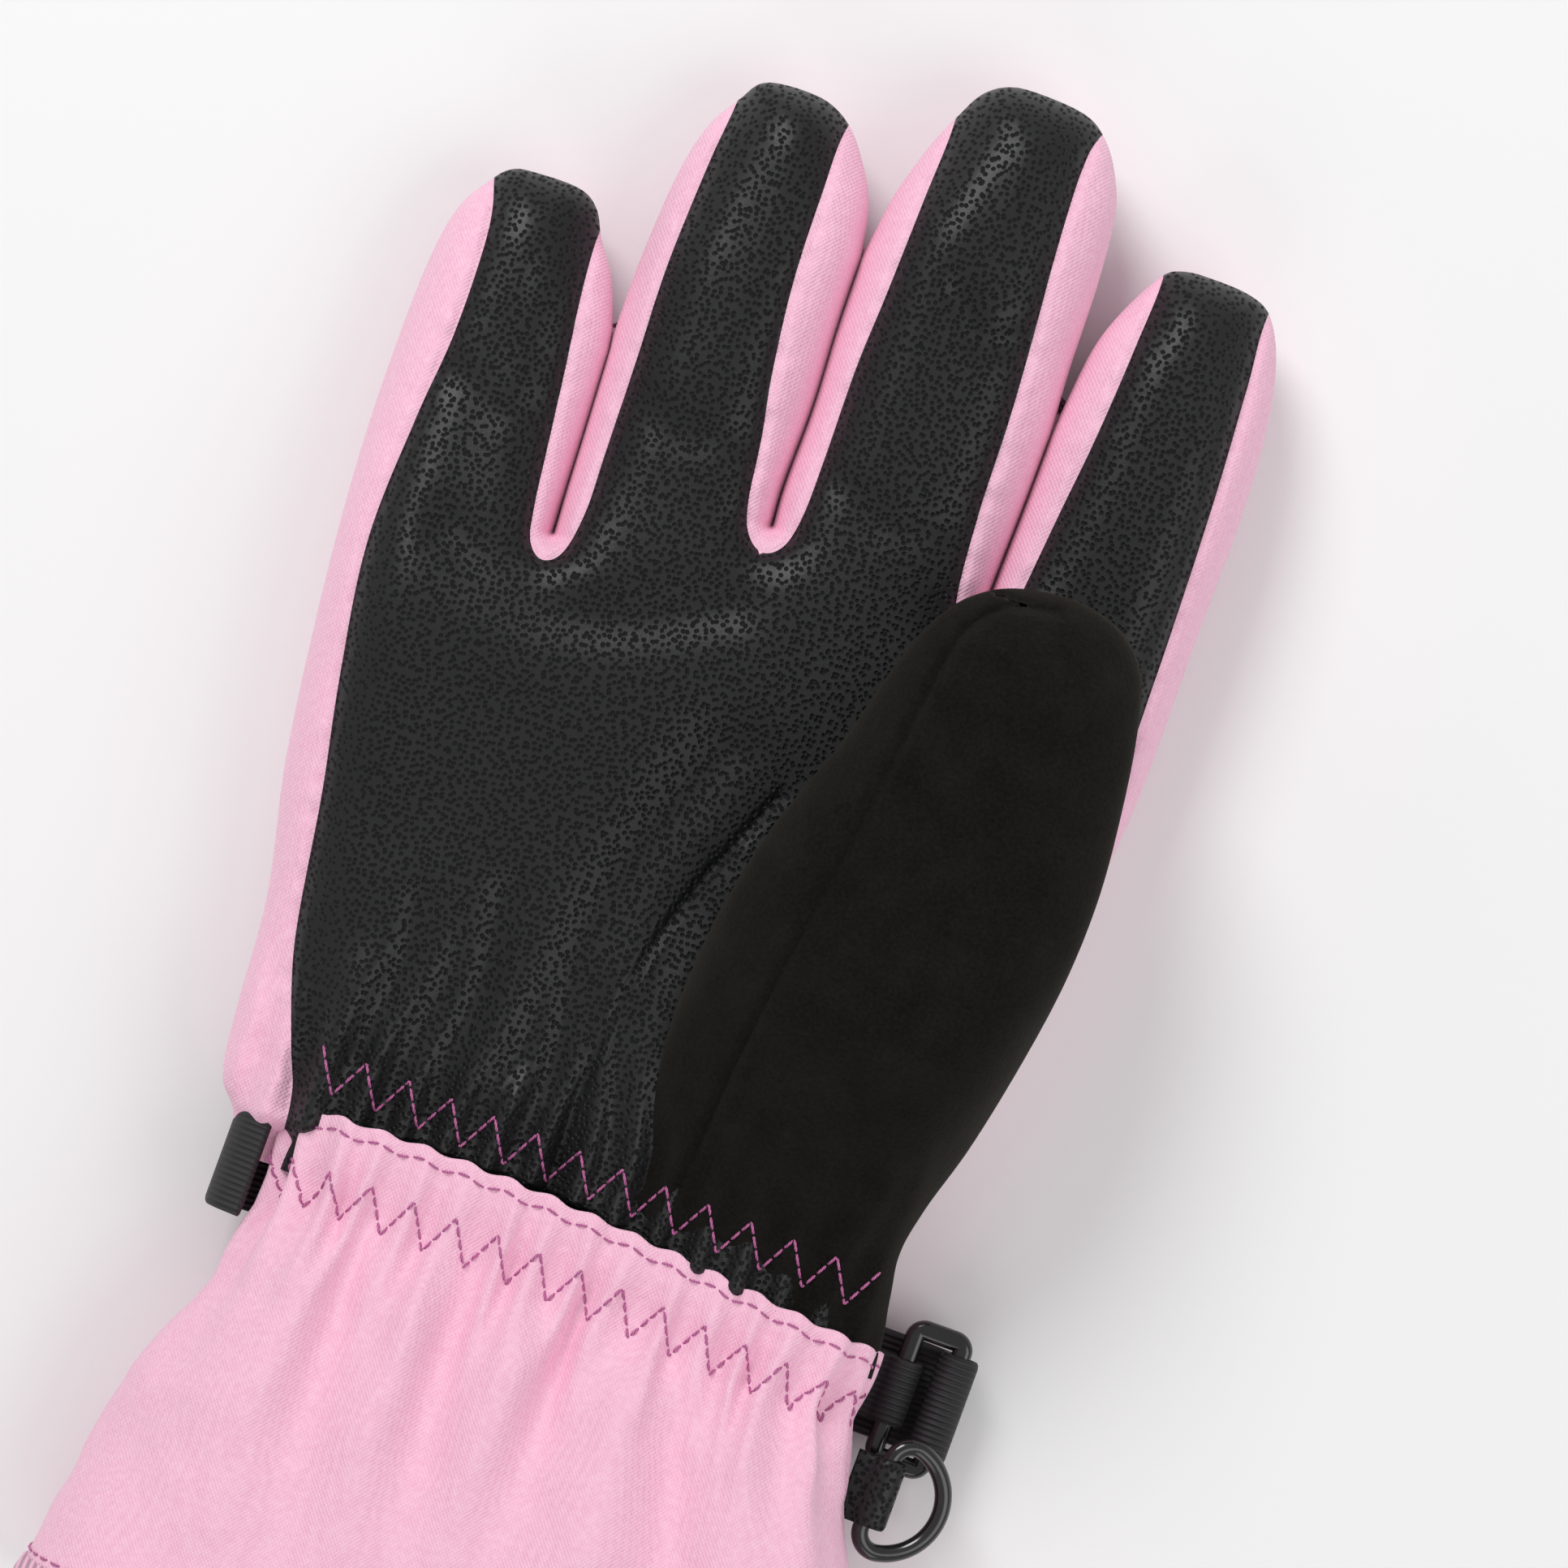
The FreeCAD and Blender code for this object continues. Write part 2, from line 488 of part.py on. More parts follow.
corners = buckle.newObject("PartDesign::Fillet", "buckle_corners")
corners.Base = (slot, edges_where(slot.Shape, upright_corner))
corners.setExpression("Radius", "sizes.buckle_corner")
doc.recompute()
edge_round = buckle.newObject("PartDesign::Fillet", "buckle_edges")
edge_round.Base = (corners, edges_where(corners.Shape, lambda e: e.BoundBox.ZLength < 0.01))
edge_round.setExpression("Radius", "sizes.buckle_round * sizes.buckle_bar")
buckle.setExpression("Placement.Base.x", "sizes.buckle_x + sizes.buckle_bar / 2 + sizes.buckle_slot / 2")
buckle.setExpression("Placement.Base.y", "sizes.strap_y")
buckle.setExpression("Placement.Base.z", "sizes.buckle_z")
output("buckle", buckle)


# ---------------------------------------------------------------- D-ring
def d_ring_shape():
    """A round bar bent to a D: a straight side, two corners and one arc tangent to both."""
    half = cell("ring_eye_length") / 2 + cell("ring_bar") / 2
    depth = cell("ring_eye_depth") + cell("ring_bar")
    r = cell("ring_corner")
    big = ((r - depth) ** 2 + (half - r) ** 2 - r ** 2) / (2 * (depth - 2 * r))
    centre = FreeCAD.Vector(depth - big, 0, 0)
    edges = [Part.LineSegment(FreeCAD.Vector(0, r - half, 0), FreeCAD.Vector(0, half - r, 0)).toShape()]
    joins, middles = [], []
    for side in (1, -1):
        hub = FreeCAD.Vector(r, side * (half - r), 0)
        out = (hub - centre).normalize()
        joins.append(hub + out * r)
        middles.append(hub + (out - FreeCAD.Vector(1, 0, 0)).normalize() * r)
    start, end = FreeCAD.Vector(0, half - r, 0), FreeCAD.Vector(0, r - half, 0)
    edges.append(Part.Arc(start, middles[0], joins[0]).toShape())
    edges.append(Part.Arc(joins[0], FreeCAD.Vector(depth, 0, 0), joins[1]).toShape())
    edges.append(Part.Arc(joins[1], middles[1], end).toShape())
    section = Part.Wire(Part.makeCircle(cell("ring_bar") / 2, FreeCAD.Vector(0, 0, 0), FreeCAD.Vector(0, 1, 0)))
    return Part.Wire(edges).makePipeShell([section], True, True)


d_ring = feature("d_ring", d_ring_shape())
tilt = FreeCAD.Rotation(FreeCAD.Vector(0, 1, 0), cell("ring_drop"))
swivel = FreeCAD.Rotation(FreeCAD.Vector(0, 0, 1), -cell("ring_turn"))
d_ring.Placement = FreeCAD.Placement(
    FreeCAD.Vector(cell("ring_x"), cell("ring_y"), cell("ring_z")), swivel.multiply(tilt))


# ---------------------------------------------------------------- tabs
def bar_tab(label, x, y, z, bar_size, seam_x, turned=0):
    """A folded tab: a loop round a bar, turned with it, and two plies that run back to the side seam."""
    loop = doc.addObject("Part::Cylinder", f"{label}_loop")
    bore = doc.addObject("Part::Cylinder", f"{label}_bore")
    loop.setExpression("Radius", f"{bar_size} / 2 + sizes.tab_clear + sizes.tab_wall")
    bore.setExpression("Radius", f"{bar_size} / 2 + sizes.tab_clear")
    upright = FreeCAD.Rotation(FreeCAD.Vector(1, 0, 0), -90)
    aside = FreeCAD.Rotation(FreeCAD.Vector(0, 0, 1), -turned)
    for cylinder, height in ((loop, "sizes.tab_width"), (bore, "2 * sizes.tab_width")):
        cylinder.setExpression("Height", height)
        cylinder.Placement = FreeCAD.Placement(FreeCAD.Vector(0, 0, 0), aside.multiply(upright))
        for key, value in (("x", f"{x} - {height} / 2 * sin({turned} deg)"),
                           ("y", f"{y} - {height} / 2 * cos({turned} deg)"), ("z", z)):
            cylinder.setExpression(f"Placement.Base.{key}", value)
    plies = block(f"{label}_plies", seam_x, f"{y} - sizes.tab_width / 2", f"{z} - sizes.tab_wall",
                  f"{x} - ({seam_x})", "sizes.tab_width", "2 * sizes.tab_wall")
    return output(label, cut(label, fuse(f"{label}_solid", [loop, plies]), bore))


SEAM_X = "sizes.wrist_x + sizes.wrist_width / 2 + sizes.cuff_wall + sizes.cuff_gap + sizes.tab_seam_gap"
bar_tab("d_ring_tab", "sizes.ring_x", "sizes.ring_y", "sizes.ring_z", "sizes.ring_bar",
        f"{SEAM_X} + sizes.tab_cuff_gap", cell("ring_turn"))
bar_tab("buckle_tab", "sizes.buckle_x", "sizes.strap_y", "sizes.buckle_z", "sizes.buckle_bar",
        f"{SEAM_X} - 2")

# ---------------------------------------------------------------- check and write
doc.recompute()
failed = [o.Name for o in doc.Objects if "Invalid" in o.State or "Error" in o.State]
if failed:
    raise RuntimeError(f"objects that did not build: {failed}")
for label, piece in outputs.items():
    shape = piece.Shape
    if shape.isNull() or not shape.isValid() or not shape.Solids:
        raise RuntimeError(f"{label} is not a valid solid")
os.makedirs("parts", exist_ok=True)
for label, piece in outputs.items():
    piece.Shape.exportStep(f"parts/{label}.step")
    print(f"{label}: {len(piece.Shape.Solids)} solid(s), {piece.Shape.Volume / 1000:.2f} cm3")
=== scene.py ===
import math

import bpy
import numpy as np
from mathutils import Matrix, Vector, kdtree


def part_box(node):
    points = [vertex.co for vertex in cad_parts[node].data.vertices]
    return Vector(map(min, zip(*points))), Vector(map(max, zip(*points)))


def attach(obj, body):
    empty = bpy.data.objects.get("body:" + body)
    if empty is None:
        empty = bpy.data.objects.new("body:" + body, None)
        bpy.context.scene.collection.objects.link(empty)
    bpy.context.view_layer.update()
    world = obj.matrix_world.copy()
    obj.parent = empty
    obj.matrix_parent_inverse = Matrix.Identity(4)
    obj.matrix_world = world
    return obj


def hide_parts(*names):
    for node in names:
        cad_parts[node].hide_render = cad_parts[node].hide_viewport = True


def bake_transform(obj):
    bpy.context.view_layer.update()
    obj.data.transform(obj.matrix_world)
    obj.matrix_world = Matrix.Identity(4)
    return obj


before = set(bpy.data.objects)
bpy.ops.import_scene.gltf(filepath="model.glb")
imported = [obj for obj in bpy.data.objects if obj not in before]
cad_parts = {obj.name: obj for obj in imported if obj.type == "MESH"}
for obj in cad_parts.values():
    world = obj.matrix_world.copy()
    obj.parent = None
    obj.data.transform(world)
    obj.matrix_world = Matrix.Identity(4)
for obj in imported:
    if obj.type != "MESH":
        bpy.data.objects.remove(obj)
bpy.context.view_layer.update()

# A right-hand ski glove, palm up: black grip leather, suede thumb, pink woven shell.
# Plan outlines are in millimetres in the CAD frame: +X thumb side, +Y fingertips, +Z out of the palm.
MM = 0.001
FINGERS = ["little", "ring", "middle", "index"]
rng = np.random.default_rng(7)


# ---------------------------------------------------------------- curves and fields
def smooth(points, step=0.4):
    """A Catmull-Rom curve through a few points, sampled about every step millimetres."""
    p = np.array(points, float)
    p = np.vstack([2 * p[0] - p[1], p, 2 * p[-1] - p[-2]])
    out = []
    for a, b, c, d in zip(p, p[1:], p[2:], p[3:]):
        n = max(2, int(np.linalg.norm(c - b) / step))
        t = np.linspace(0, 1, n, endpoint=False)[:, None]
        out.append(0.5 * (2 * b + (c - a) * t + (2 * a - 5 * b + 4 * c - d) * t**2
                          + (3 * b - a - 3 * c + d) * t**3))
    out.append(p[-2:-1])
    return np.vstack(out)


def ramp(x, low, high):
    t = np.clip((x - low) / (high - low), 0, 1)
    return t * t * (3 - 2 * t)


def bump(x, centre, width):
    return np.exp(-((x - centre) / width) ** 2)


lattice = rng.uniform(-1, 1, (32, 32, 32))


def noise(p, size):
    """Smooth value noise between -1 and 1 at points p, with features about size millimetres."""
    q = np.asarray(p, float) / size + 100.0
    i = np.floor(q).astype(int)
    f = q - i
    f = f * f * (3 - 2 * f)
    total = np.zeros(len(q))
    for corner in range(8):
        o = [(corner >> k) & 1 for k in range(3)]
        w = np.prod([f[:, k] if o[k] else 1 - f[:, k] for k in range(3)], axis=0)
        total += w * lattice[tuple((i[:, k] + o[k]) % 32 for k in range(3))]
    return total


class Lines:
    """Nearest point on a set of sampled lines, and its distance."""

    def __init__(self, *curves):
        starts, ends = [], []
        for c in curves:
            starts.append(c[:-1])
            ends.append(c[1:])
        self.a, self.b = np.vstack(starts), np.vstack(ends)
        middle = (self.a + self.b) / 2
        self.tree = kdtree.KDTree(len(middle))
        for i, m in enumerate(middle):
            self.tree.insert((m[0], m[1], 0), i)
        self.tree.balance()

    def nearest(self, p):
        i = np.array([self.tree.find((x, y, 0))[1] for x, y in p])
        best = np.full(len(p), 1e9)
        where = np.zeros((len(p), 2))
        for k in (i - 1, i, (i + 1) % len(self.a)):
            a, e = self.a[k], self.b[k] - self.a[k]
            t = np.clip(((p - a) * e).sum(1) / np.maximum((e * e).sum(1), 1e-12), 0, 1)
            q = a + e * t[:, None]
            d = np.linalg.norm(p - q, axis=1)
            closer = d < best
            best[closer], where[closer] = d[closer], q[closer]
        return best, where


def inside(p, loop):
    """Which points lie in a closed loop, by counting crossings."""
    hit = np.zeros(len(p), bool)
    a, b = loop, np.roll(loop, -1, axis=0)
    for chunk in range(0, len(p), 4000):
        q = p[chunk:chunk + 4000]
        y, x = q[:, 1, None], q[:, 0, None]
        spans = (a[None, :, 1] > y) != (b[None, :, 1] > y)
        rise = b[:, 1] - a[:, 1]
        rise = np.where(np.abs(rise) < 1e-9, 1e-9, rise)
        cross = a[None, :, 0] + (y - a[None, :, 1]) * ((b[:, 0] - a[:, 0]) / rise)[None, :]
        hit[chunk:chunk + 4000] = (spans & (x < cross)).sum(1) % 2 == 1
    return hit


# ---------------------------------------------------------------- outlines, seams and slits
WRIST_END = -57.5   # the hand runs on under the cuff to here
SPLIT = {"little": 42.5, "ring": 52.5, "middle": 52.5, "index": 52.5}
CUTS = [  # where two fingers meet, from the crotch to where their outlines part
    smooth([(-36.2, 40), (-36.2, 43.5), (-36.6, 50), (-37.0, 58), (-37.7, 71.5)]),
    smooth([(-6.3, 50), (-6.3, 55.5), (-6.7, 62), (-6.6, 74), (-7.2, 86), (-7.4, 97)]),
    smooth([(27.3, 50), (27.3, 54), (27.4, 60), (27.7, 72), (27.8, 82)]),
]
CROTCHES = [(-36.2, 43.5), (-6.3, 55.5), (27.3, 54.0)]

hand_outline = np.vstack([
    smooth([(-49, -90), (-50, -57), (-54.5, -48), (-56, -38), (-57.6, -20.8), (-61.8, -1.6), (-64.8, 20),
            (-66.8, 40.4), (-67.6, 57.2), (-67.4, 74), (-66, 83.6), (-63, 89), (-60.5, 91.8), (-57, 92.6),
            (-50, 92.6), (-46.6, 90.6), (-44.4, 86.6), (-41.2, 82), (-38.6, 75.5), (-37.7, 71.5)]),
    smooth([(-37.7, 71.5), (-38, 76), (-38, 86), (-37.2, 99.2), (-35.4, 107.6), (-32.3, 113),
            (-30.2, 116.2),
            (-26.5, 117.3), (-20.5, 117.2), (-16.2, 115.2), (-12.6, 111.2), (-9.2, 105.2), (-7.4, 97)]),
    smooth([(-7.4, 97), (-6.8, 102), (-6, 107.6), (-3.6, 116), (-1.2, 121.6), (1.2, 126), (5, 128.4),
            (10.5, 128.8),
            (16.5, 128.2), (20, 126.2), (23, 122.4), (25.6, 116), (26.7, 105.2), (27.1, 92), (27.8, 82)]),
    smooth([(27.8, 82), (28.3, 88), (29.4, 96.8), (31.8, 103.6), (35.2, 109.8), (38, 111.5), (42, 111.9),
            (48, 111.6), (52, 109.8), (55.2, 104), (57.4, 94.4), (58.4, 80), (58.3, 62), (58.4, 45.2),
            (58.2, 34.4), (57.2, 22), (55.8, 6.8), (54, -7.6), (51.6, -20.8), (48.6, -31.6), (47.4, -38.8),
            (48.4, -46), (49.8, -57), (50, -90)]),
])
palm_seam = [
    smooth([(-43, -90), (-43, -57), (-43.6, -47.5), (-46.2, -40), (-51, -25.6), (-54.6, -4), (-58.2, 14),
            (-61, 33.2), (-60.6, 52), (-59.6, 66.8), (-60.2, 82), (-62.6, 90.4), (-66, 98)]),
    smooth([(-42, 98), (-44.8, 89.6), (-44.4, 80), (-42.6, 66.8), (-41.2, 56), (-39.8, 45.8), (-38.6, 41),
            (-36.1, 39), (-33.6, 41), (-32.5, 47.6), (-32.8, 57.2), (-33.2, 71.6), (-33.7, 86),
            (-33.2, 101.6),
            (-32.5, 113.4), (-34, 124)]),
    smooth([(-12, 124), (-15.8, 114.8), (-15.9, 102.8), (-15.4, 89.6), (-13.8, 76.4), (-12, 66.8),
            (-10.6, 57.2),
            (-8.9, 52.8), (-6.1, 51), (-3.5, 53), (-2.4, 58.2), (-2.3, 66.8), (-2.5, 81.2), (-2, 93.2),
            (-1.6, 107.6), (-1.4, 121.8), (-4, 136)]),
    smooth([(24, 136), (19.7, 126), (18.7, 119.8), (19.2, 107.6), (20.4, 93.2), (21.2, 81.2), (21.7, 66.8),
            (23.2, 53), (27, 48.5), (30.8, 52), (31.7, 60), (32.8, 71.6), (34, 83.6), (34.9, 98),
            (35.3, 110.4),
            (33, 120)]),
    smooth([(55, 120), (51.8, 109.6), (52.4, 98), (53.4, 81.2), (54.1, 62), (54.4, 45.2), (54.6, 30),
            (53.6, 8),
            (51, -12), (47.4, -28), (45.6, -40), (46, -57), (46, -90)]),
]
thumb_outline = np.vstack([
    smooth([(4.2, -90), (4.2, -57), (4.4, -47.2), (5.2, -38.8), (4.8, -29.2), (4.8, -14.8), (5.6, -2.8),
            (7.2, 6.8),
            (9, 14), (11.4, 21.2), (14.4, 29.6), (16.8, 39.2), (19.2, 46.8), (22.6, 53), (27.6, 57.2),
            (34, 59.2), (41, 59.4), (47.4, 57.2), (51.6, 52.4), (54, 44), (55.8, 32), (56.8, 20),
            (56.4, 6.8), (54.6, -7.6), (52.2, -20.8), (49.2, -31.6), (48, -38.8), (49, -46), (50.4, -57),
            (50.6, -90)]),
])
thumb_seam = [
    smooth([(12.6, -90), (12.8, -57), (13.4, -47), (14.4, -36.4), (15.6, -19.6), (17.4, -4), (19.8, 12.8),
            (21.6, 26), (23.2, 39.2), (25.2, 49.6), (30, 55.2), (37, 57)]),
]
gusset_seam = smooth([(8.6, 19), (2.5, 4), (-1.4, -8), (-3.4, -20), (-4.2, -34), (-3.8, -48), (-3.6, -57)])


def seam_side(p):
    """True where the palm's grip leather is: inside the closed band between its seams."""
    loop = np.vstack(palm_seam)
    return inside(p, loop)


def thumb_side(p):
    """True on the thumb's main panel, beyond its inner seam."""
    edge = thumb_seam[0]
    x = np.interp(p[:, 1], edge[:, 1], edge[:, 0])
    return (p[:, 0] > x) | (p[:, 1] > 57)


# ---------------------------------------------------------------- heights
CENTRES = [-52.3, -22.0, 10.5, 43.1]


def by_finger(x, values):
    return np.interp(x, CENTRES, values)


TIPS = [92.5, 117.3, 128.8, 111.8]  # how far each finger reaches along Y, little finger first
CUFF_DRAW_IN = 5.5                 # how far the skin sinks once it is well under the cuff


def under_cuff(p):
    """How far the skin is drawn in where the cuff lies over it."""
    edge = np.interp(p[:, 0], [-43, -24, 0, 21, 36, 51], [-51.5, -47.6, -47.8, -51.0, -53.4, -56.0])
    return CUFF_DRAW_IN * ramp(edge - p[:, 1], -0.8, 2.6)


def hand_levels(p):
    """Top, middle and bottom heights of the flat of the hand, before its edges round off."""
    x, y = p[:, 0], p[:, 1]
    finger = ramp(y, 26, 62)
    top = np.interp(y, [-57, -50, -43.5, -36, -20, 0], [28.6, 28.2, 27.2, 28.6, 28.4, 28.2])
    top = top * (1 - finger) + by_finger(x, [22.9, 24.9, 26.0, 24.9]) * finger
    bottom = np.interp(y, [-57, -44, -27, -10], [6.9, 6.6, 2.2, 0.0])
    bottom = bottom * (1 - finger) + 0.4 * finger
    middle = np.interp(y, [-57, -44, -27, -10], [18.0, 18.0, 15.0, 14.0])
    middle = middle * (1 - finger) + by_finger(x, [11.5, 12.5, 13.0, 12.5]) * finger
    top = top - under_cuff(p)
    bottom = bottom + under_cuff(p)
    end = by_finger(x, TIPS)
    drop = 2.0 * ramp(y, end - 26, end)
    return top - drop, middle, bottom


def hand_radius(p):
    """How far in from the outline the rounding of the edge runs."""
    r = 12.0 + 2.0 * (1 - ramp(p[:, 1], 20, 55)) + 6.0 * (1 - ramp(p[:, 1], -45, -10))
    for x, y in CROTCHES:
        r -= (r - 6.5) * np.exp(-((p[:, 0] - x) ** 2 + (p[:, 1] - y) ** 2) / 110.0)
    return r


def thumb_levels(p):
    x, y = p[:, 0], p[:, 1]
    top = np.interp(y, [-57, -47, -42, -34, -24, -12, 2, 30, 48, 60],
                    [28.4, 28.4, 28.8, 32.5, 38.8, 45.6, 49.6, 50.6, 49.4, 46.0])
    top = top - under_cuff(p)
    low = 25.5 - 7.5 * ramp(x, 22, 44)
    middle = low + (39.6 - low) * ramp(y, -30, 14)
    bottom = 14.0 + 15.0 * ramp(y, -22, -4)
    return top, middle, bottom


def thumb_radius(p):
    return 12.5 + 7.0 * (1 - ramp(p[:, 1], -30, 10)) * (1 - 0.4 * ramp(p[:, 0], 25, 45))


# ---------------------------------------------------------------- folds and puckers
GATHER = 6.7   # the pitch of the elastic's zigzag, and of the puckers it draws in


def wrist_folds(x, y):
    """Puckers that the wrist elastic draws in, fading up the palm."""
    centre = np.interp(x, [-42, 47], [-42, -45.5])
    away = y - centre
    reach = 0.55 * ramp(away, 30, 4) + 0.45 * ramp(away, 12, 1)
    wander = 3.2 * np.sin(x / 9.1 + away / 15.0) + 1.3 * np.sin(x / 4.3 + 1.0)
    phase = 2 * math.pi * (x + wander * ramp(away, 2, 22)) / GATHER
    pucker = (0.5 + 0.5 * np.cos(phase)) ** 1.4 - 0.5
    broad = np.sin(2 * math.pi * (x + 0.5 * wander) / 21.0 + 0.6)
    strength = 2.5 * reach
    return strength * pucker + 1.1 * ramp(away, 44, 10) * broad * 0.7


CREASES = [  # soft valleys in the palm: path, half width and depth, in millimetres
    ([(-2, 22), (-8, 4), (-11, -14), (-12, -30)], 5.0, 1.6),
    ([(3, 6), (1, -6), (0.5, -22), (2, -36)], 2.6, 0.8),
    ([(-24, -8), (-23, -22), (-26, -36)], 2.8, 1.3),
    ([(-36, -14), (-35, -26), (-36, -38)], 2.4, 1.0),
    ([(-50, 38), (-38, 33), (-24, 34), (-8, 42)], 4.5, 1.3),
    ([(8, 96), (13, 91), (19, 93)], 2.6, 1.1),
    ([(-31, 66), (-24, 63), (-15, 66)], 3.0, 0.5),
    ([(2, 64), (10, 61), (20, 65)], 3.0, 0.6),
    ([(-57, 60), (-50, 57), (-43, 60)], 3.0, 0.5),
]
crease_lines = [(Lines(smooth(path)), width, depth) for path, width, depth in CREASES]
seam_lines = Lines(*palm_seam)
thumb_seam_lines = Lines(*thumb_seam)
gusset_lines = Lines(gusset_seam)


def palm_relief(p):
    """How far the palm side stands off its smooth form."""
    x, y = p[:, 0], p[:, 1]
    q = np.column_stack([p, np.zeros(len(p))])
    seam, _ = seam_lines.nearest(p)
    leather = seam_side(p)
    relief = -1.0 * np.exp(-(seam / 0.75) ** 2)
    relief += np.where(leather, 0.9, 0.5) * (1 - np.exp(-(seam / 4.0) ** 2))
    pucker = noise(q, 2.4) * np.exp(-(seam / 3.0) ** 2)
    relief += np.where(leather, 0.14, 0.42) * pucker
    gusset, _ = gusset_lines.nearest(p)
    relief += -0.8 * np.exp(-(gusset / 0.8) ** 2) - 0.5 * bump(gusset, 0, 5.0)
    relief += 0.8 * noise(q, 24.0) + 0.35 * noise(q + 40.0, 9.0)
    relief += wrist_folds(x, y)
    for lines, width, depth in crease_lines:
        d, _ = lines.nearest(p)
        relief -= depth * np.exp(-(d / width) ** 2)
    return relief


def thumb_relief(p):
    q = np.column_stack([p, np.zeros(len(p))])
    seam, _ = thumb_seam_lines.nearest(p)
    relief = -0.8 * np.exp(-(seam / 0.6) ** 2) + 0.3 * np.exp(-((seam - 1.6) / 1.0) ** 2)
    relief += 0.8 * noise(q, 18.0) + 0.25 * noise(q + 9.0, 6.0)
    return relief + 0.75 * wrist_folds(p[:, 0], p[:, 1])


def back_relief(p):
    q = np.column_stack([p, np.full(len(p), 50.0)])
    relief = 0.3 * noise(q, 20.0)
    return relief + 0.9 * wrist_folds(p[:, 0] + 3.0, p[:, 1])


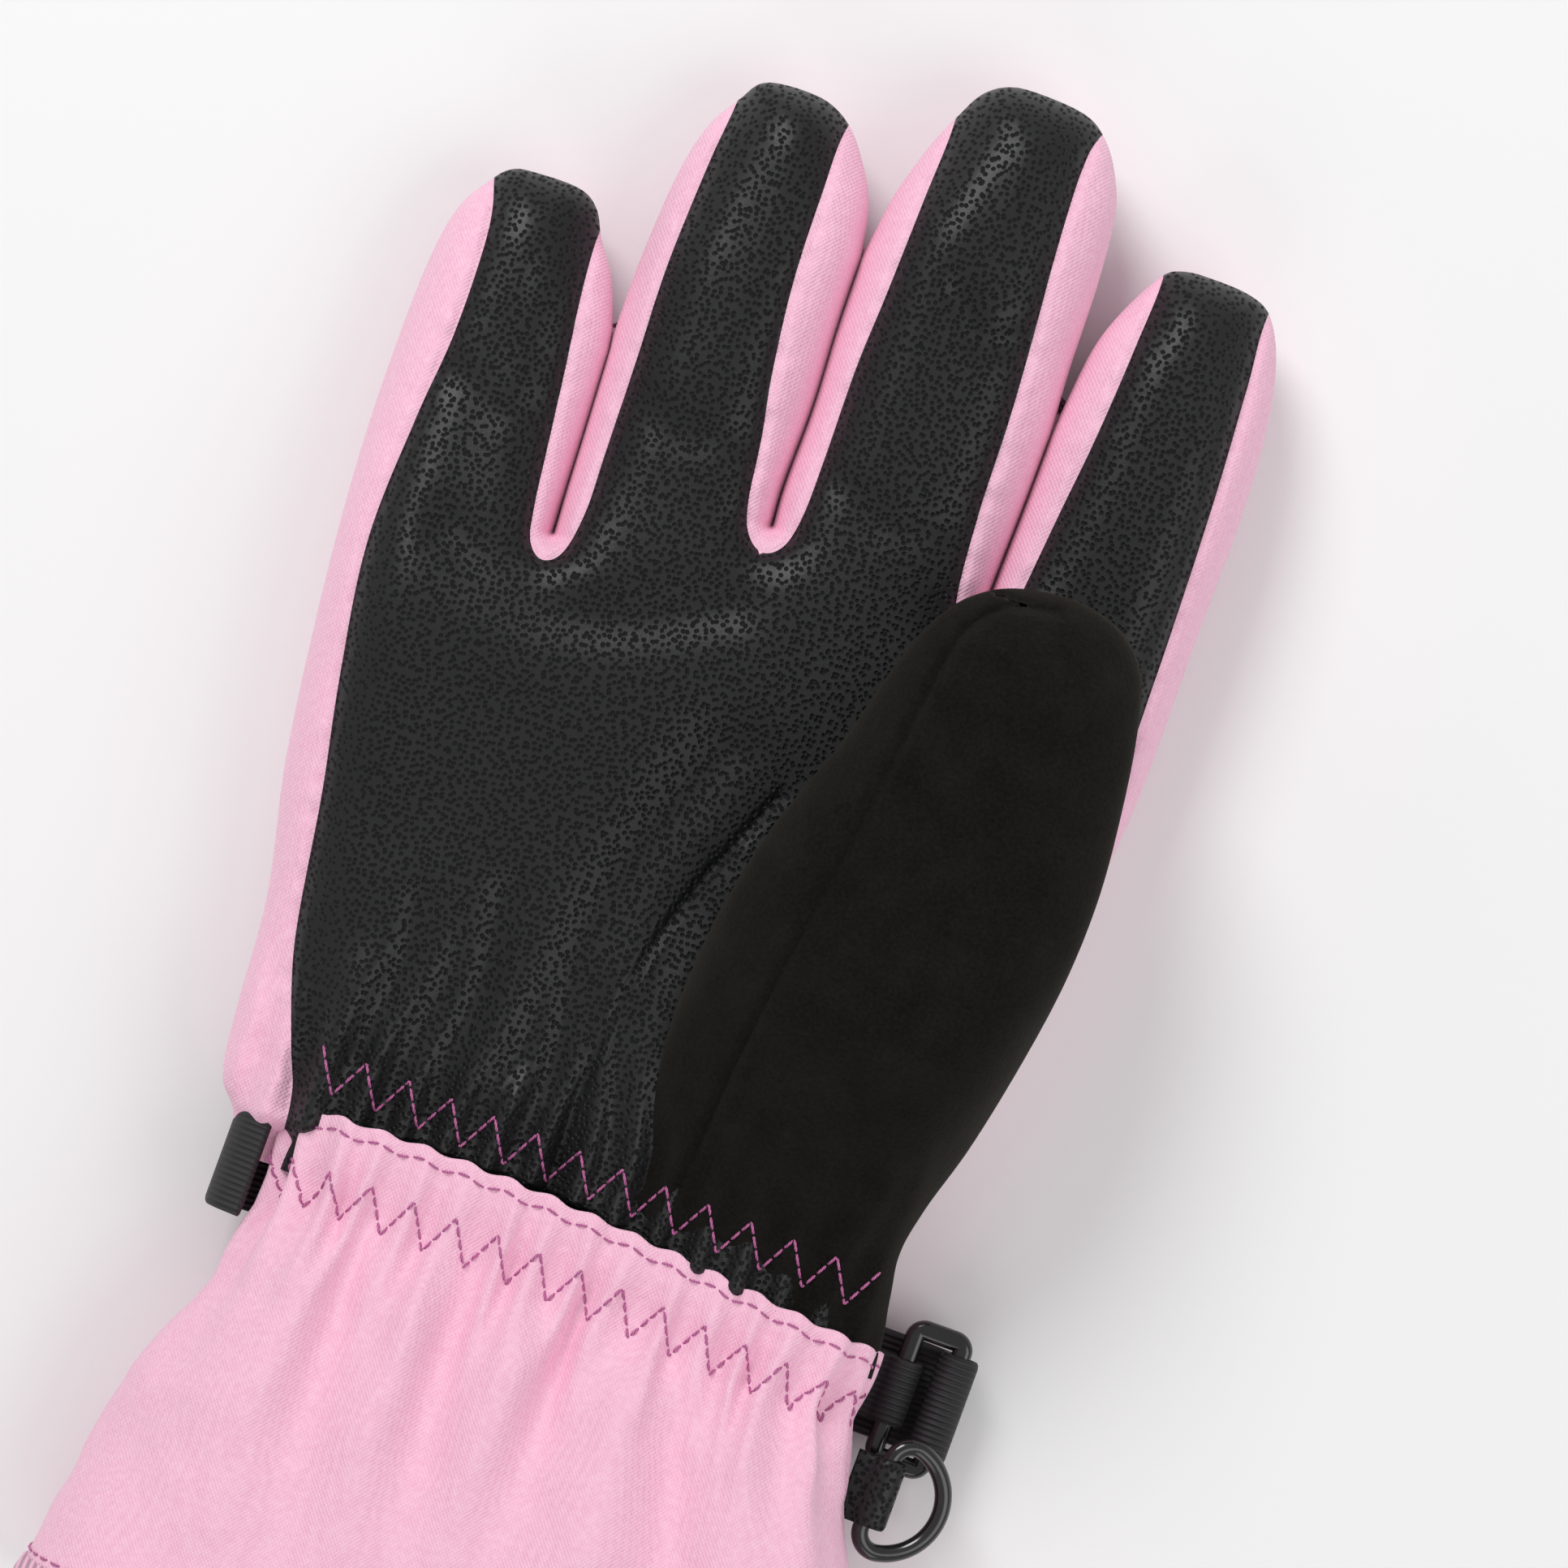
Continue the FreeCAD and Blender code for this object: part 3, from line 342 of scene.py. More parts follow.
# ---------------------------------------------------------------- the padded form between two outlines
class Form:
    """Top and bottom skins that meet at an outline seen in plan, on a grid snapped to outline and seams."""

    def __init__(self, outline, slits, levels, radius, step, inset=0.0, low=WRIST_END, seams=None,
                 side=None, cuts=(), relief=None, back=None):
        self.inset, self.levels, self.radius = inset, levels, radius
        self.edge = Lines(outline, *slits)
        xs = np.arange(-72.5, 62.6, step)
        ys = np.arange(low, 132.6, step)
        self.shape = (len(xs), len(ys))
        gx, gy = np.meshgrid(xs, ys, indexing="ij")
        p = np.column_stack([gx.ravel(), gy.ravel()])
        self.row_y = p[:, 1].copy()
        cut_marks = self.snap_to_cuts(p, cuts)
        d, where = self.edge.nearest(p)
        signed = np.where(inside(p, outline), d, -d) - inset
        boundary = self.closer_ends(signed)
        n = (p - where) / np.maximum(d, 1e-9)[:, None] * np.where(signed + inset < 0, -1, 1)[:, None]
        n[d < 1e-6] = 0
        p[boundary] = (where + n * inset)[boundary]
        signed[boundary] = 0
        r = np.maximum(radius(p) - inset, 1.5)
        inner = (signed > 0) & (signed < r)
        target = r * (1 - np.cos(np.minimum(signed / r, 1) * math.pi / 2)) + inset
        p[inner] = (where + n * target[:, None])[inner]
        self.plan_back = p.copy()
        self.seam_mark = np.zeros(len(p), bool)
        self.label = np.zeros(len(p), bool)
        if seams is not None:
            self.label = side(p)
            sd, sw = seams.nearest(p)
            value = np.where(self.label, sd, -sd)
            mark = self.closer_ends(value) & ~boundary & ~cut_marks & (signed > 0)
            p[mark] = sw[mark]
            self.seam_mark = mark
        self.valid = signed >= 0
        self.boundary = boundary | cut_marks & (d < 1e-3)
        self.rim = boundary
        self.cut_marks = cut_marks
        self.plan = p
        self.points = np.vstack([self.place(p, 1, relief), self.place(self.plan_back, -1, back)])
        self.weld_rims()
        self.make_faces()

    def closer_ends(self, value):
        """Marks, on each grid edge whose ends differ in sign, the end nearer to zero."""
        v = value.reshape(self.shape)
        mark = np.zeros(self.shape, bool)
        for a, b in (((slice(None, -1), slice(None)), (slice(1, None), slice(None))),
                     ((slice(None), slice(None, -1)), (slice(None), slice(1, None)))):
            cross = (v[a] > 0) != (v[b] > 0)
            first = np.abs(v[a]) <= np.abs(v[b])
            mark[a] |= cross & first
            mark[b] |= cross & ~first
        return mark.ravel()

    def snap_to_cuts(self, p, cuts):
        """Moves the nearest grid points onto each line between two fingers, along their own row."""
        marked = np.zeros(len(p), bool)
        for line in cuts:
            x = np.interp(p[:, 1], line[:, 1], line[:, 0])
            value = (p[:, 0] - x)
            within = (p[:, 1] >= line[0, 1]) & (p[:, 1] <= line[-1, 1] + 0.01)
            near = self.closer_ends(value) & within
            p[near, 0] = x[near]
            marked |= near
        return marked

    def place(self, p, way, relief):
        d, _ = self.edge.nearest(p)
        d = np.where(self.boundary, 0, np.maximum(d - self.inset, 0))
        r = np.maximum(self.radius(p) - self.inset, 1.5)
        lift = np.sqrt(np.maximum(1 - (1 - np.minimum(d / r, 1)) ** 2, 0))
        top, middle, bottom = self.levels(p)
        goal = top - self.inset if way > 0 else bottom + self.inset
        z = middle + (goal - middle) * lift
        if relief is not None:
            z += way * relief(p) * ramp(lift, 0.1, 0.85)
        return np.column_stack([p, z])

    def weld_rims(self):
        n = len(self.plan)
        self.twin = np.arange(2 * n)
        self.twin[n:][self.rim] = np.arange(n)[self.rim]
        self.points[n:][self.rim] = self.points[:n][self.rim]

    def make_faces(self):
        """Quads and snapped triangles, each with its skin, its row and its column between the cuts."""
        nx, ny = self.shape
        i, j = np.meshgrid(np.arange(nx - 1), np.arange(ny - 1), indexing="ij")
        a = (i * ny + j).ravel()
        quad = np.column_stack([a, a + ny, a + ny + 1, a + 1])
        ok = self.valid[quad]
        whole = quad[ok.all(1)]
        three = quad[ok.sum(1) == 3]
        keep = self.valid[three]
        tris = np.array([[v for v, k in zip(t, m) if k] for t, m in zip(three, keep)], int).reshape(-1, 3)
        free = ~self.seam_mark
        lab = self.label
        self.faces, self.face_label, self.face_mid = [], [], []
        split = []
        for q in whole:
            names = {bool(lab[v]) for v in q if free[v]}
            if len(names) == 2:
                anchors = [k for k in range(4) if not free[q[k]]]
                k = anchors[0] if anchors else 0
                split += [(q[k], q[(k + 1) % 4], q[(k + 2) % 4]), (q[k], q[(k + 2) % 4], q[(k + 3) % 4])]
            else:
                self.faces.append(tuple(q))
        self.faces += split + [tuple(t) for t in tris]
        self.front_count = len(self.faces)
        n = len(self.plan)
        flat = [tuple(q) for q in whole] + [tuple(t) for t in tris]
        self.faces += [tuple(n + v for v in reversed(f)) for f in flat]
        for k, f in enumerate(self.faces):
            back = k >= self.front_count
            plan = [v - n if back else v for v in f]
            mid = self.points[list(f)].mean(0)
            names = [bool(lab[v]) for v in plan if free[v]]
            self.face_label.append(sum(names) * 2 > len(names) if names else False)
            self.face_mid.append((mid[0], mid[1], self.row_y[plan].mean(), back))
        self.face_mid = np.array(self.face_mid, float)
        self.face_label = np.array(self.face_label)
        self.normals = self.vertex_normals()

    def vertex_normals(self):
        total = np.zeros_like(self.points)
        for size in (3, 4):
            f = np.array([x for x in self.faces if len(x) == size])
            if len(f) == 0:
                continue
            p = self.points[f]
            normal = np.cross(p[:, 2] - p[:, 0], p[:, 3 % size] - p[:, 1])
            for k in range(size):
                np.add.at(total, self.twin[f[:, k]], normal)
        total = total[self.twin]
        return total / np.maximum(np.linalg.norm(total, axis=1), 1e-12)[:, None]

    def piece(self, name, chosen, material):
        """A mesh of some of the faces, keeping the whole form's normals across its edges."""
        faces = [self.faces[k] for k in np.flatnonzero(chosen)]
        used = sorted({self.twin[v] for f in faces for v in f})
        index = {v: k for k, v in enumerate(used)}
        new_faces = []
        for f in faces:
            g = [index[self.twin[v]] for v in f]
            g = [v for k, v in enumerate(g) if v != g[k - 1]]
            if len(set(g)) >= 3 and len(g) == len(set(g)):
                new_faces.append(g)
        return new_mesh(name, self.points[used], new_faces, material, self.normals[used])


def new_mesh(name, points, faces, material, normals=None):
    mesh = bpy.data.meshes.new(name)
    points = np.array(points, dtype=float)
    points[:, 2] = np.maximum(points[:, 2], 0.0)  # cloth that would sag lower lies on the floor
    mesh.from_pydata([tuple(p) for p in points * MM], [], [tuple(int(v) for v in f) for f in faces])
    mesh.polygons.foreach_set("use_smooth", [True] * len(mesh.polygons))
    mesh.materials.append(material)
    mesh.update()
    if normals is not None:
        mesh.normals_split_custom_set_from_vertices([tuple(n) for n in normals])
    obj = bpy.data.objects.new(name, mesh)
    bpy.context.collection.objects.link(obj)
    return obj


# ---------------------------------------------------------------- materials
class Nodes:
    """A small helper that builds one material's nodes."""

    def __init__(self, name, **values):
        self.material = bpy.data.materials.new(name)
        self.material.use_nodes = True
        self.tree = self.material.node_tree
        self.shader = self.tree.nodes["Principled BSDF"]
        for key, value in values.items():
            socket = key.replace("_", " ").title() if "_" in key or key.islower() else key
            self.shader.inputs[socket].default_value = value
        self.place = self.add("ShaderNodeTexCoord").outputs["Object"]

    def add(self, kind, inputs=(), **props):
        node = self.tree.nodes.new(kind)
        for key, value in props.items():
            setattr(node, key, value)
        for key, value in dict(inputs).items():
            if isinstance(value, bpy.types.NodeSocket):
                self.tree.links.new(value, node.inputs[key])
            else:
                node.inputs[key].default_value = value
        return node

    def math(self, operation, a, b=0.0):
        return self.add("ShaderNodeMath", {0: a, 1: b}, operation=operation).outputs[0]

    def ramp(self, value, low, high, start=0.0, end=1.0):
        return self.add("ShaderNodeMapRange", {"Value": value, "From Min": low, "From Max": high,
                                               "To Min": start, "To Max": end}).outputs[0]

    def noise(self, size, detail=2.0, where=None):
        return self.add("ShaderNodeTexNoise", {"Vector": where or self.place, "Scale": 1 / (size * MM),
                                               "Detail": detail}).outputs["Fac"]

    def mix(self, factor, a, b):
        node = self.add("ShaderNodeMix", data_type="RGBA")
        for key, value in ((0, factor), (6, a), (7, b)):
            if isinstance(value, bpy.types.NodeSocket):
                self.tree.links.new(value, node.inputs[key])
            else:
                node.inputs[key].default_value = value
        return node.outputs[2]

    def link(self, value, socket):
        self.tree.links.new(value, self.shader.inputs[socket])

    def bump(self, *layers):
        """Each layer is (height, depth in mm, strength); they add up."""
        normal = None
        for height, depth, strength in layers:
            inputs = {"Height": height, "Distance": depth * MM, "Strength": strength}
            if normal:
                inputs["Normal"] = normal
            normal = self.add("ShaderNodeBump", inputs).outputs[0]
        self.link(normal, "Normal")


def grip_leather():
    n = Nodes("grip_leather", roughness=0.44)
    n.shader.inputs["Specular IOR Level"].default_value = 0.34
    pebble, wander = 0.95 * MM, 0.6 * MM  # the grain's pitch, and how far its cells stray
    wobble = n.add("ShaderNodeTexNoise", {"Vector": n.place, "Scale": 1 / (2.2 * MM), "Detail": 1.0})
    shifted = n.add("ShaderNodeVectorMath", {0: wobble.outputs["Color"], 1: (wander, wander, wander)},
                    operation="MULTIPLY").outputs[0]
    where = n.add("ShaderNodeVectorMath", {0: n.place, 1: shifted}, operation="ADD").outputs[0]
    cells = n.add("ShaderNodeTexVoronoi", {"Vector": where, "Scale": 1 / pebble, "Randomness": 0.85},
                  voronoi_dimensions="2D").outputs["Distance"]
    pits = n.ramp(cells, 0.14, 0.38)
    grain = n.noise(0.45, 2.0)
    tone = n.noise(20.0, 2.0)
    dark = n.mix(tone, (0.0075, 0.0078, 0.0086, 1), (0.013, 0.0134, 0.0142, 1))
    # The pits are painted near-black in the base colour, darker than the leather round them: painted shade
    # in the grain's hollows, which the bump also sinks.
    n.link(n.mix(pits, (0.002, 0.002, 0.0022, 1), dark), "Base Color")
    n.link(n.mix(pits, (0.85, 0.85, 0.85, 1), (0.43, 0.43, 0.43, 1)), "Roughness")
    n.bump((pits, 0.30, 1.0), (grain, 0.05, 0.5))
    return n.material


def weave(n, pitch):
    """Height of a plain weave of round yarns."""
    parts = n.add("ShaderNodeSeparateXYZ", {0: n.place})
    turn = 2 * math.pi / (pitch * MM)
    drift = n.math("MULTIPLY", n.noise(6.0, 2.0), 1.6)
    a = n.math("SINE", n.math("ADD", n.math("MULTIPLY", parts.outputs[0], turn), drift))
    b = n.math("SINE", n.math("ADD", n.math("MULTIPLY", parts.outputs[1], turn * 0.82), drift))
    c = n.math("SINE", n.math("MULTIPLY", parts.outputs[2], turn * 0.9))
    return n.math("ADD", n.math("MULTIPLY", a, b), n.math("MULTIPLY", c, 0.35))


def woven(name, light, dark, pitch=0.62, depth=0.07, roughness=0.62):
    n = Nodes(name, roughness=roughness)
    n.shader.inputs["Sheen Weight"].default_value = 0.25
    n.shader.inputs["Sheen Roughness"].default_value = 0.4
    n.shader.inputs["Specular IOR Level"].default_value = 0.3
    height = weave(n, pitch)
    slub = n.noise(0.9, 3.0)
    # The base colour follows the weave's height: yarn crowns are painted lighter and the gaps between them
    # darker, a painted highlight and painted shade; the slub adds uneven tone.
    tone = n.math("ADD", n.ramp(height, -1.1, 1.1, 0.0, 0.55), n.ramp(slub, 0.35, 0.65, 0.0, 0.45))
    n.link(n.mix(tone, dark, light), "Base Color")
    n.bump((height, depth, 0.7), (slub, 0.05, 0.5))
    return n.material


def suede():
    n = Nodes("suede", roughness=0.95)
    n.shader.inputs["Specular IOR Level"].default_value = 0.06
    n.shader.inputs["Sheen Weight"].default_value = 0.06
    n.shader.inputs["Sheen Roughness"].default_value = 0.6
    n.shader.inputs["Sheen Tint"].default_value = (0.8, 0.72, 0.62, 1)
    nap = n.noise(0.55, 4.0)
    patch = n.noise(7.0, 3.0)
    # The base colour follows the nap's noise, which also drives its bump, so the nap's hollows are painted
    # darker: painted shade; the broad patches add uneven tone.
    tone = n.math("ADD", n.math("MULTIPLY", nap, 0.7), n.math("MULTIPLY", patch, 0.5))
    dark, light = (0.0028, 0.0026, 0.0022, 1), (0.0105, 0.0096, 0.0082, 1)
    n.link(n.mix(n.ramp(tone, 0.4, 0.85), dark, light), "Base Color")
    n.bump((nap, 0.22, 0.6), (n.noise(2.4, 3.0), 0.2, 0.35))
    return n.material


def ribbed(name, colour, pitch, axis, depth=0.2, roughness=0.6):
    n = Nodes(name, roughness=roughness)
    parts = n.add("ShaderNodeSeparateXYZ", {0: n.place})
    wave = n.math("SINE", n.math("MULTIPLY", parts.outputs[axis], 2 * math.pi / (pitch * MM)))
    fine = n.noise(0.3, 3.0)
    # The grooves between ribs are painted in a darker copy of the colour and the rib crowns in the full
    # colour: painted shade following the ribs' height.
    dark = tuple(c * 0.45 for c in colour[:3]) + (1,)
    n.link(n.mix(n.ramp(wave, -1, 1), dark, colour), "Base Color")
    n.bump((wave, depth, 0.8), (fine, 0.08, 0.5))
    return n.material


def pile(name, colour, size, depth, roughness=0.9):
    n = Nodes(name, roughness=roughness)
    n.shader.inputs["Sheen Weight"].default_value = 0.3
    tuft = n.noise(size, 4.0)
    # Low places of the pile are painted in a darker copy of the colour, following the same noise as its
    # bump: painted shade in the pile's hollows.
    dark = tuple(c * 0.5 for c in colour[:3]) + (1,)
    n.link(n.mix(n.ramp(tuft, 0.35, 0.65), dark, colour), "Base Color")
    n.bump((tuft, depth, 0.8))
    return n.material


def moulded():
    n = Nodes("moulded_plastic", roughness=0.16)
    n.shader.inputs["Coat Weight"].default_value = 0.3
    n.shader.inputs["Coat Roughness"].default_value = 0.06
    swirl = n.noise(3.0, 2.0)
    n.link(n.mix(swirl, (0.008, 0.008, 0.009, 1), (0.013, 0.012, 0.013, 1)), "Base Color")
    n.link(n.ramp(n.noise(1.5, 3.0), 0.3, 0.7, 0.13, 0.2), "Roughness")
    n.bump((n.noise(2.5, 2.0), 0.03, 0.4))
    return n.material


LEATHER = grip_leather()
# The lighter pink is painted on the yarn crowns and the darker pink in the gaps: painted highlight and
# painted shade.
PINK = woven("shell_fabric", (0.96, 0.585, 0.735, 1), (0.88, 0.46, 0.62, 1))
SUEDE = suede()
WEBBING = ribbed("webbing", (0.022, 0.022, 0.024, 1), 0.9, 1)
BINDING = ribbed("binding", (0.90, 0.50, 0.655, 1), 1.1, 0, 0.12)
FLEECE = pile("fleece", (0.045, 0.045, 0.05, 1), 1.3, 0.5)
WADDING = pile("wadding", (0.78, 0.78, 0.76, 1), 3.0, 0.6)
MEMBRANE = pile("membrane", (0.62, 0.66, 0.7, 1), 5.0, 0.1, 0.4)
ELASTIC = ribbed("elastic", (0.75, 0.75, 0.73, 1), 0.8, 0)
LOOPS = pile("loop_pile", (0.02, 0.02, 0.022, 1), 0.7, 0.4)
HOOKS = ribbed("hooks", (0.02, 0.02, 0.022, 1), 1.4, 0, 0.4, 0.4)
PLASTIC = moulded()
THREAD = ribbed("thread", (0.68, 0.18, 0.44, 1), 0.35, 0, 0.06, 0.55)


# ---------------------------------------------------------------- hand and fingers
slits = [line[line[:, 1] >= crotch[1]] for line, crotch in zip(CUTS, CROTCHES)]
STEP = 0.5


def column(x, y):
    """Which finger a plan point belongs to, from the lines between them."""
    return sum((x > np.interp(y, line[:, 1], line[:, 0])).astype(int) for line in CUTS)


def by_body(form):
    """Masks of the faces of each finger beyond its split row, and of the hand."""
    x, row = form.face_mid[:, 0], form.face_mid[:, 2]
    col = column(x, form.face_mid[:, 1])
    masks = {f: (col == k) & (row > SPLIT[f]) for k, f in enumerate(FINGERS)}
    masks["hand"] = ~np.logical_or.reduce(list(masks.values()))
    return masks


def join_finger(obj):
    """Bakes a finger's piece's placement into its mesh."""
    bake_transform(obj)


hand = Form(hand_outline, slits, hand_levels, hand_radius, STEP, seams=seam_lines, side=seam_side, cuts=CUTS,
            relief=palm_relief, back=back_relief)
masks = by_body(hand)
top, leather = hand.face_mid[:, 3] == 0, hand.face_label

palm = hand.piece("palm_leather", masks["hand"] & top & leather, LEATHER)
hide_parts("palm_panel")
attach(palm, "hand")
edge = hand.piece("palm_edge_fabric", masks["hand"] & top & ~leather, PINK)
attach(edge, "hand")
back = hand.piece("hand_back_fabric", masks["hand"] & ~top, PINK)
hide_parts("back_panel")
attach(back, "hand")

for finger in FINGERS:
    for name, mask, material, slot_name, node in (
        ("front", top & leather, LEATHER, "grip_leather", f"{finger}_front_panel"),
        ("side", top & ~leather, PINK, "shell_fabric", f"{finger}_side_walls"),
        ("back", ~top, PINK, "shell_fabric", f"{finger}_back_panel"),
    ):
        piece = hand.piece(f"{finger}_{name}", masks[finger] & mask, material)
        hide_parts(node)
        join_finger(piece)

# ---------------------------------------------------------------- thumb
THUMB_SPLIT = -17.5


def join_thumb(obj):
    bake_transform(obj)


thumb = Form(thumb_outline, [], thumb_levels, thumb_radius, STEP, seams=thumb_seam_lines, side=thumb_side,
             relief=thumb_relief)
thumb_top = thumb.face_mid[:, 3] == 0
beyond = thumb.face_mid[:, 2] > THUMB_SPLIT
for name, mask, node in (
    ("thumb_front", thumb_top & thumb.face_label & beyond, "thumb_front_panel"),
    ("thumb_inner", thumb_top & ~thumb.face_label & beyond, "thumb_gusset"),
    ("thumb_back", ~thumb_top & beyond, "thumb_back_panel"),
):
    piece = thumb.piece(name, mask, SUEDE)
    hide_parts(node)
    join_thumb(piece)
for name, mask in (("thumb_root", thumb.face_label), ("thumb_root_inner", ~thumb.face_label)):
    piece = thumb.piece(name, thumb_top & mask & ~beyond, SUEDE)
    if name == "thumb_root":
        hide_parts("thumb_root_panel")
    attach(piece, "hand")

# ---------------------------------------------------------------- layers inside the shell
COARSE = 2.5  # grid step of the hidden layers
INNER = [  # layer, inset from the shell, material, material slot, lower end along Y
    ("wadding", 3.2, WADDING, "wadding", -40.0),
    ("membrane", 6.2, MEMBRANE, "membrane", -40.0),
    ("lining", 7.0, FLEECE, "fleece", WRIST_END),
]
for layer, inset, material, slot, low in INNER:
    form = Form(hand_outline, slits, hand_levels, hand_radius, COARSE, inset=inset, low=low, cuts=CUTS)
    for body, mask in by_body(form).items():
        piece = form.piece(f"{body}_{layer}", mask, material)
        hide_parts(f"{body}_{layer}")
        if body == "hand":
            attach(piece, "hand")
        else:
            join_finger(piece)
    form = Form(thumb_outline, [], thumb_levels, thumb_radius, COARSE, inset=inset, low=THUMB_SPLIT)
    piece = form.piece(f"thumb_{layer}", np.ones(len(form.faces), bool), material)
    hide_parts(f"thumb_{layer}")
    join_thumb(piece)


ELASTIC_INSET = 3.6
band = Form(hand_outline, slits, hand_levels, hand_radius, 1.0, inset=ELASTIC_INSET, low=-50.5)
piece = band.piece("wrist_elastic_band", band.face_mid[:, 2] < -44.5, ELASTIC)
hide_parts("wrist_elastic")
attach(piece, "hand")


# ---------------------------------------------------------------- cuff
def station(y, key):
    """The cuff's size at a distance along it: centre x and z, full width and thickness."""
    at = [-132, -129, -93, -76, -64, -50]
    table = {
        "x": [4.0, 4.0, 4.4, 3.4, 3.2, 3.4],
        "z": [17.0, 17.0, 16.8, 17.8, 18.0, 18.0],
        "w": [126, 126, 112, 97, 93, 94.5],
        "t": [34, 34, 32, 27.5, 25.2, 25.0],
    }
    return np.interp(y, at, table[key])


def tube_point(s, y, out):
    """A point of a rounded flat tube: s runs once round from the thumb side over the palm side."""
    w, t = station(y, "w"), station(y, "t")
    half_flat = (w - t) / 2
    arc = math.pi * t / 2
    straight = w - t
    run = (s % 1.0) * 2 * (arc + straight)
    run = (run + arc / 2) % (2 * (arc + straight))
    x, z = np.zeros_like(run), np.zeros_like(run)
    nx, nz = np.zeros_like(run), np.zeros_like(run)
    for k in range(4):
        if k == 0:
            m = run < arc
            ang = run[m] / (t[m] / 2) - math.pi / 2
            cx = half_flat[m]
        elif k == 1:
            m = (run >= arc) & (run < arc + straight)
            x[m] = half_flat[m] - (run[m] - arc[m])
            z[m], nx[m], nz[m] = t[m] / 2, 0, 1
            continue
        elif k == 2:
            m = (run >= arc + straight) & (run < 2 * arc + straight)
            ang = (run[m] - arc[m] - straight[m]) / (t[m] / 2) + math.pi / 2
            cx = -half_flat[m]
        else:
            m = run >= 2 * arc + straight
            x[m] = -half_flat[m] + (run[m] - 2 * arc[m] - straight[m])
            z[m], nx[m], nz[m] = -t[m] / 2, 0, -1
            continue
        nx[m], nz[m] = np.cos(ang), np.sin(ang)
        x[m], z[m] = cx + nx[m] * t[m] / 2, nz[m] * t[m] / 2
    return np.column_stack([station(y, "x") + x + nx * out, y, station(y, "z") + z + nz * out])


FOLDS = [  # long folds: place round the cuff at the gather, drift, width and depth
    (0.055, 0.010, 0.016, 1.6), (0.10, 0.004, 0.020, 1.9), (0.150, -0.002, 0.014, -1.5),
    (0.185, 0.004, 0.022, 2.3),
    (0.235, 0.004, 0.016, -2.4), (0.265, -0.006, 0.024, 2.2), (0.315, -0.010, 0.016, -1.8),
    (0.345, -0.012, 0.018, 1.8),
    (0.395, -0.016, 0.014, -1.6), (0.425, -0.020, 0.018, 1.7), (0.47, -0.012, 0.016, -1.0),
    (0.55, 0.006, 0.02, 1.2),
    (0.62, 0.0, 0.022, -1.4), (0.68, 0.004, 0.02, 1.4), (0.75, 0.004, 0.018, -1.4), (0.81, 0.0, 0.024, 1.3),
    (0.88, 0.004, 0.02, -1.2), (0.94, 0.0, 0.018, 1.3),
]
ROUND = 33   # puckers round the cuff elastic


def gather_y(s):
    """Where the cuff elastic runs, a little higher in the middle of the palm side."""
    return -61.0 + 1.6 * np.sin(2 * math.pi * s) - 2.0 * np.cos(2 * math.pi * s)


def cuff_out(s, y):
    """How far the cuff stands off its smooth tube: puckers, the elastic's waist and long folds."""
    below = gather_y(s) - y
    waist = -1.2 * bump(below, 0, 5.0) + 0.9 * ramp(below, 4, 14) * ramp(below, 60, 20)
    wander = 0.16 * np.sin(2 * math.pi * s * 7 + 0.8) + 0.1 * np.sin(2 * math.pi * s * 17)
    phase = 2 * math.pi * (s * ROUND + wander * (1 + 0.05 * below))
    pucker = (0.5 + 0.5 * np.cos(phase)) ** 1.3 - 0.45
    near = 2.7 * np.exp(-(np.maximum(below, 0) / 11.0) ** 2) * np.exp(-(np.maximum(-below, 0) / 9.0) ** 2)
    out = waist + near * pucker
    for place, drift, width, depth in FOLDS:
        far = np.maximum(below, 0)
        centre = place + drift * far / 20.0
        spread = width * (0.45 + far / 38.0)
        gap = (s - centre + 0.5) % 1.0 - 0.5
        life = 1.5 * ramp(far, -2, 14) * (1 - 0.7 * ramp(far, 26, 68))
        out = out + depth * life * np.exp(-(gap / spread) ** 2)
    q = np.column_stack([np.cos(2 * math.pi * s) * 40, y, np.sin(2 * math.pi * s) * 40])
    return out + 0.7 * noise(q, 13.0) * ramp(below, 2, 16) + 0.25 * noise(q, 5.0)


def cuff_edge(s):
    """The cuff's top edge, arched over the palm and slightly wavy."""
    up = np.sin(2 * math.pi * s)
    side = np.cos(2 * math.pi * s)
    return -51.0 + 2.8 * up - 2.6 * side + 0.35 * np.sin(2 * math.pi * s * ROUND + 0.5)


def tube(name, rows, top, bottom, out, material, around=400):
    """A tube of cloth between two edges, each given round the cuff."""
    around = around
    s = np.arange(around) / around
    points = []
    for v in np.linspace(0, 1, rows):
        y = top(s) * (1 - v) + bottom(s) * v
        points.append(tube_point(s, y, out(s, y)))
    faces = []
    for r in range(rows - 1):
        for k in range(around):
            n = (k + 1) % around
            faces.append((r * around + k, r * around + n, (r + 1) * around + n, (r + 1) * around + k))
    return new_mesh(name, np.vstack(points), faces, material)


def thicken(obj, thickness, offset=-1.0):
    mod = obj.modifiers.new("ply", "SOLIDIFY")
    mod.thickness = thickness * MM
    mod.offset = offset
    mod.use_even_offset = False
    return obj


HEM = -129.0
CUFF_END = HEM + 5.0  # where the cuff's cloth runs into the binding


def at_cuff_end(s):
    return np.full_like(s, CUFF_END)


cuff = tube("cuff_fabric", 150, cuff_edge, at_cuff_end, cuff_out, PINK)
thicken(cuff, 0.7)
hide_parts("cuff_shell")
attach(cuff, "hand")


elastic = tube("cuff_elastic_band", 4, lambda s: gather_y(s) + 2.6, lambda s: gather_y(s) - 2.6,
               lambda s, y: cuff_out(s, y) - 1.1, ELASTIC)
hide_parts("cuff_elastic")
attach(elastic, "hand")


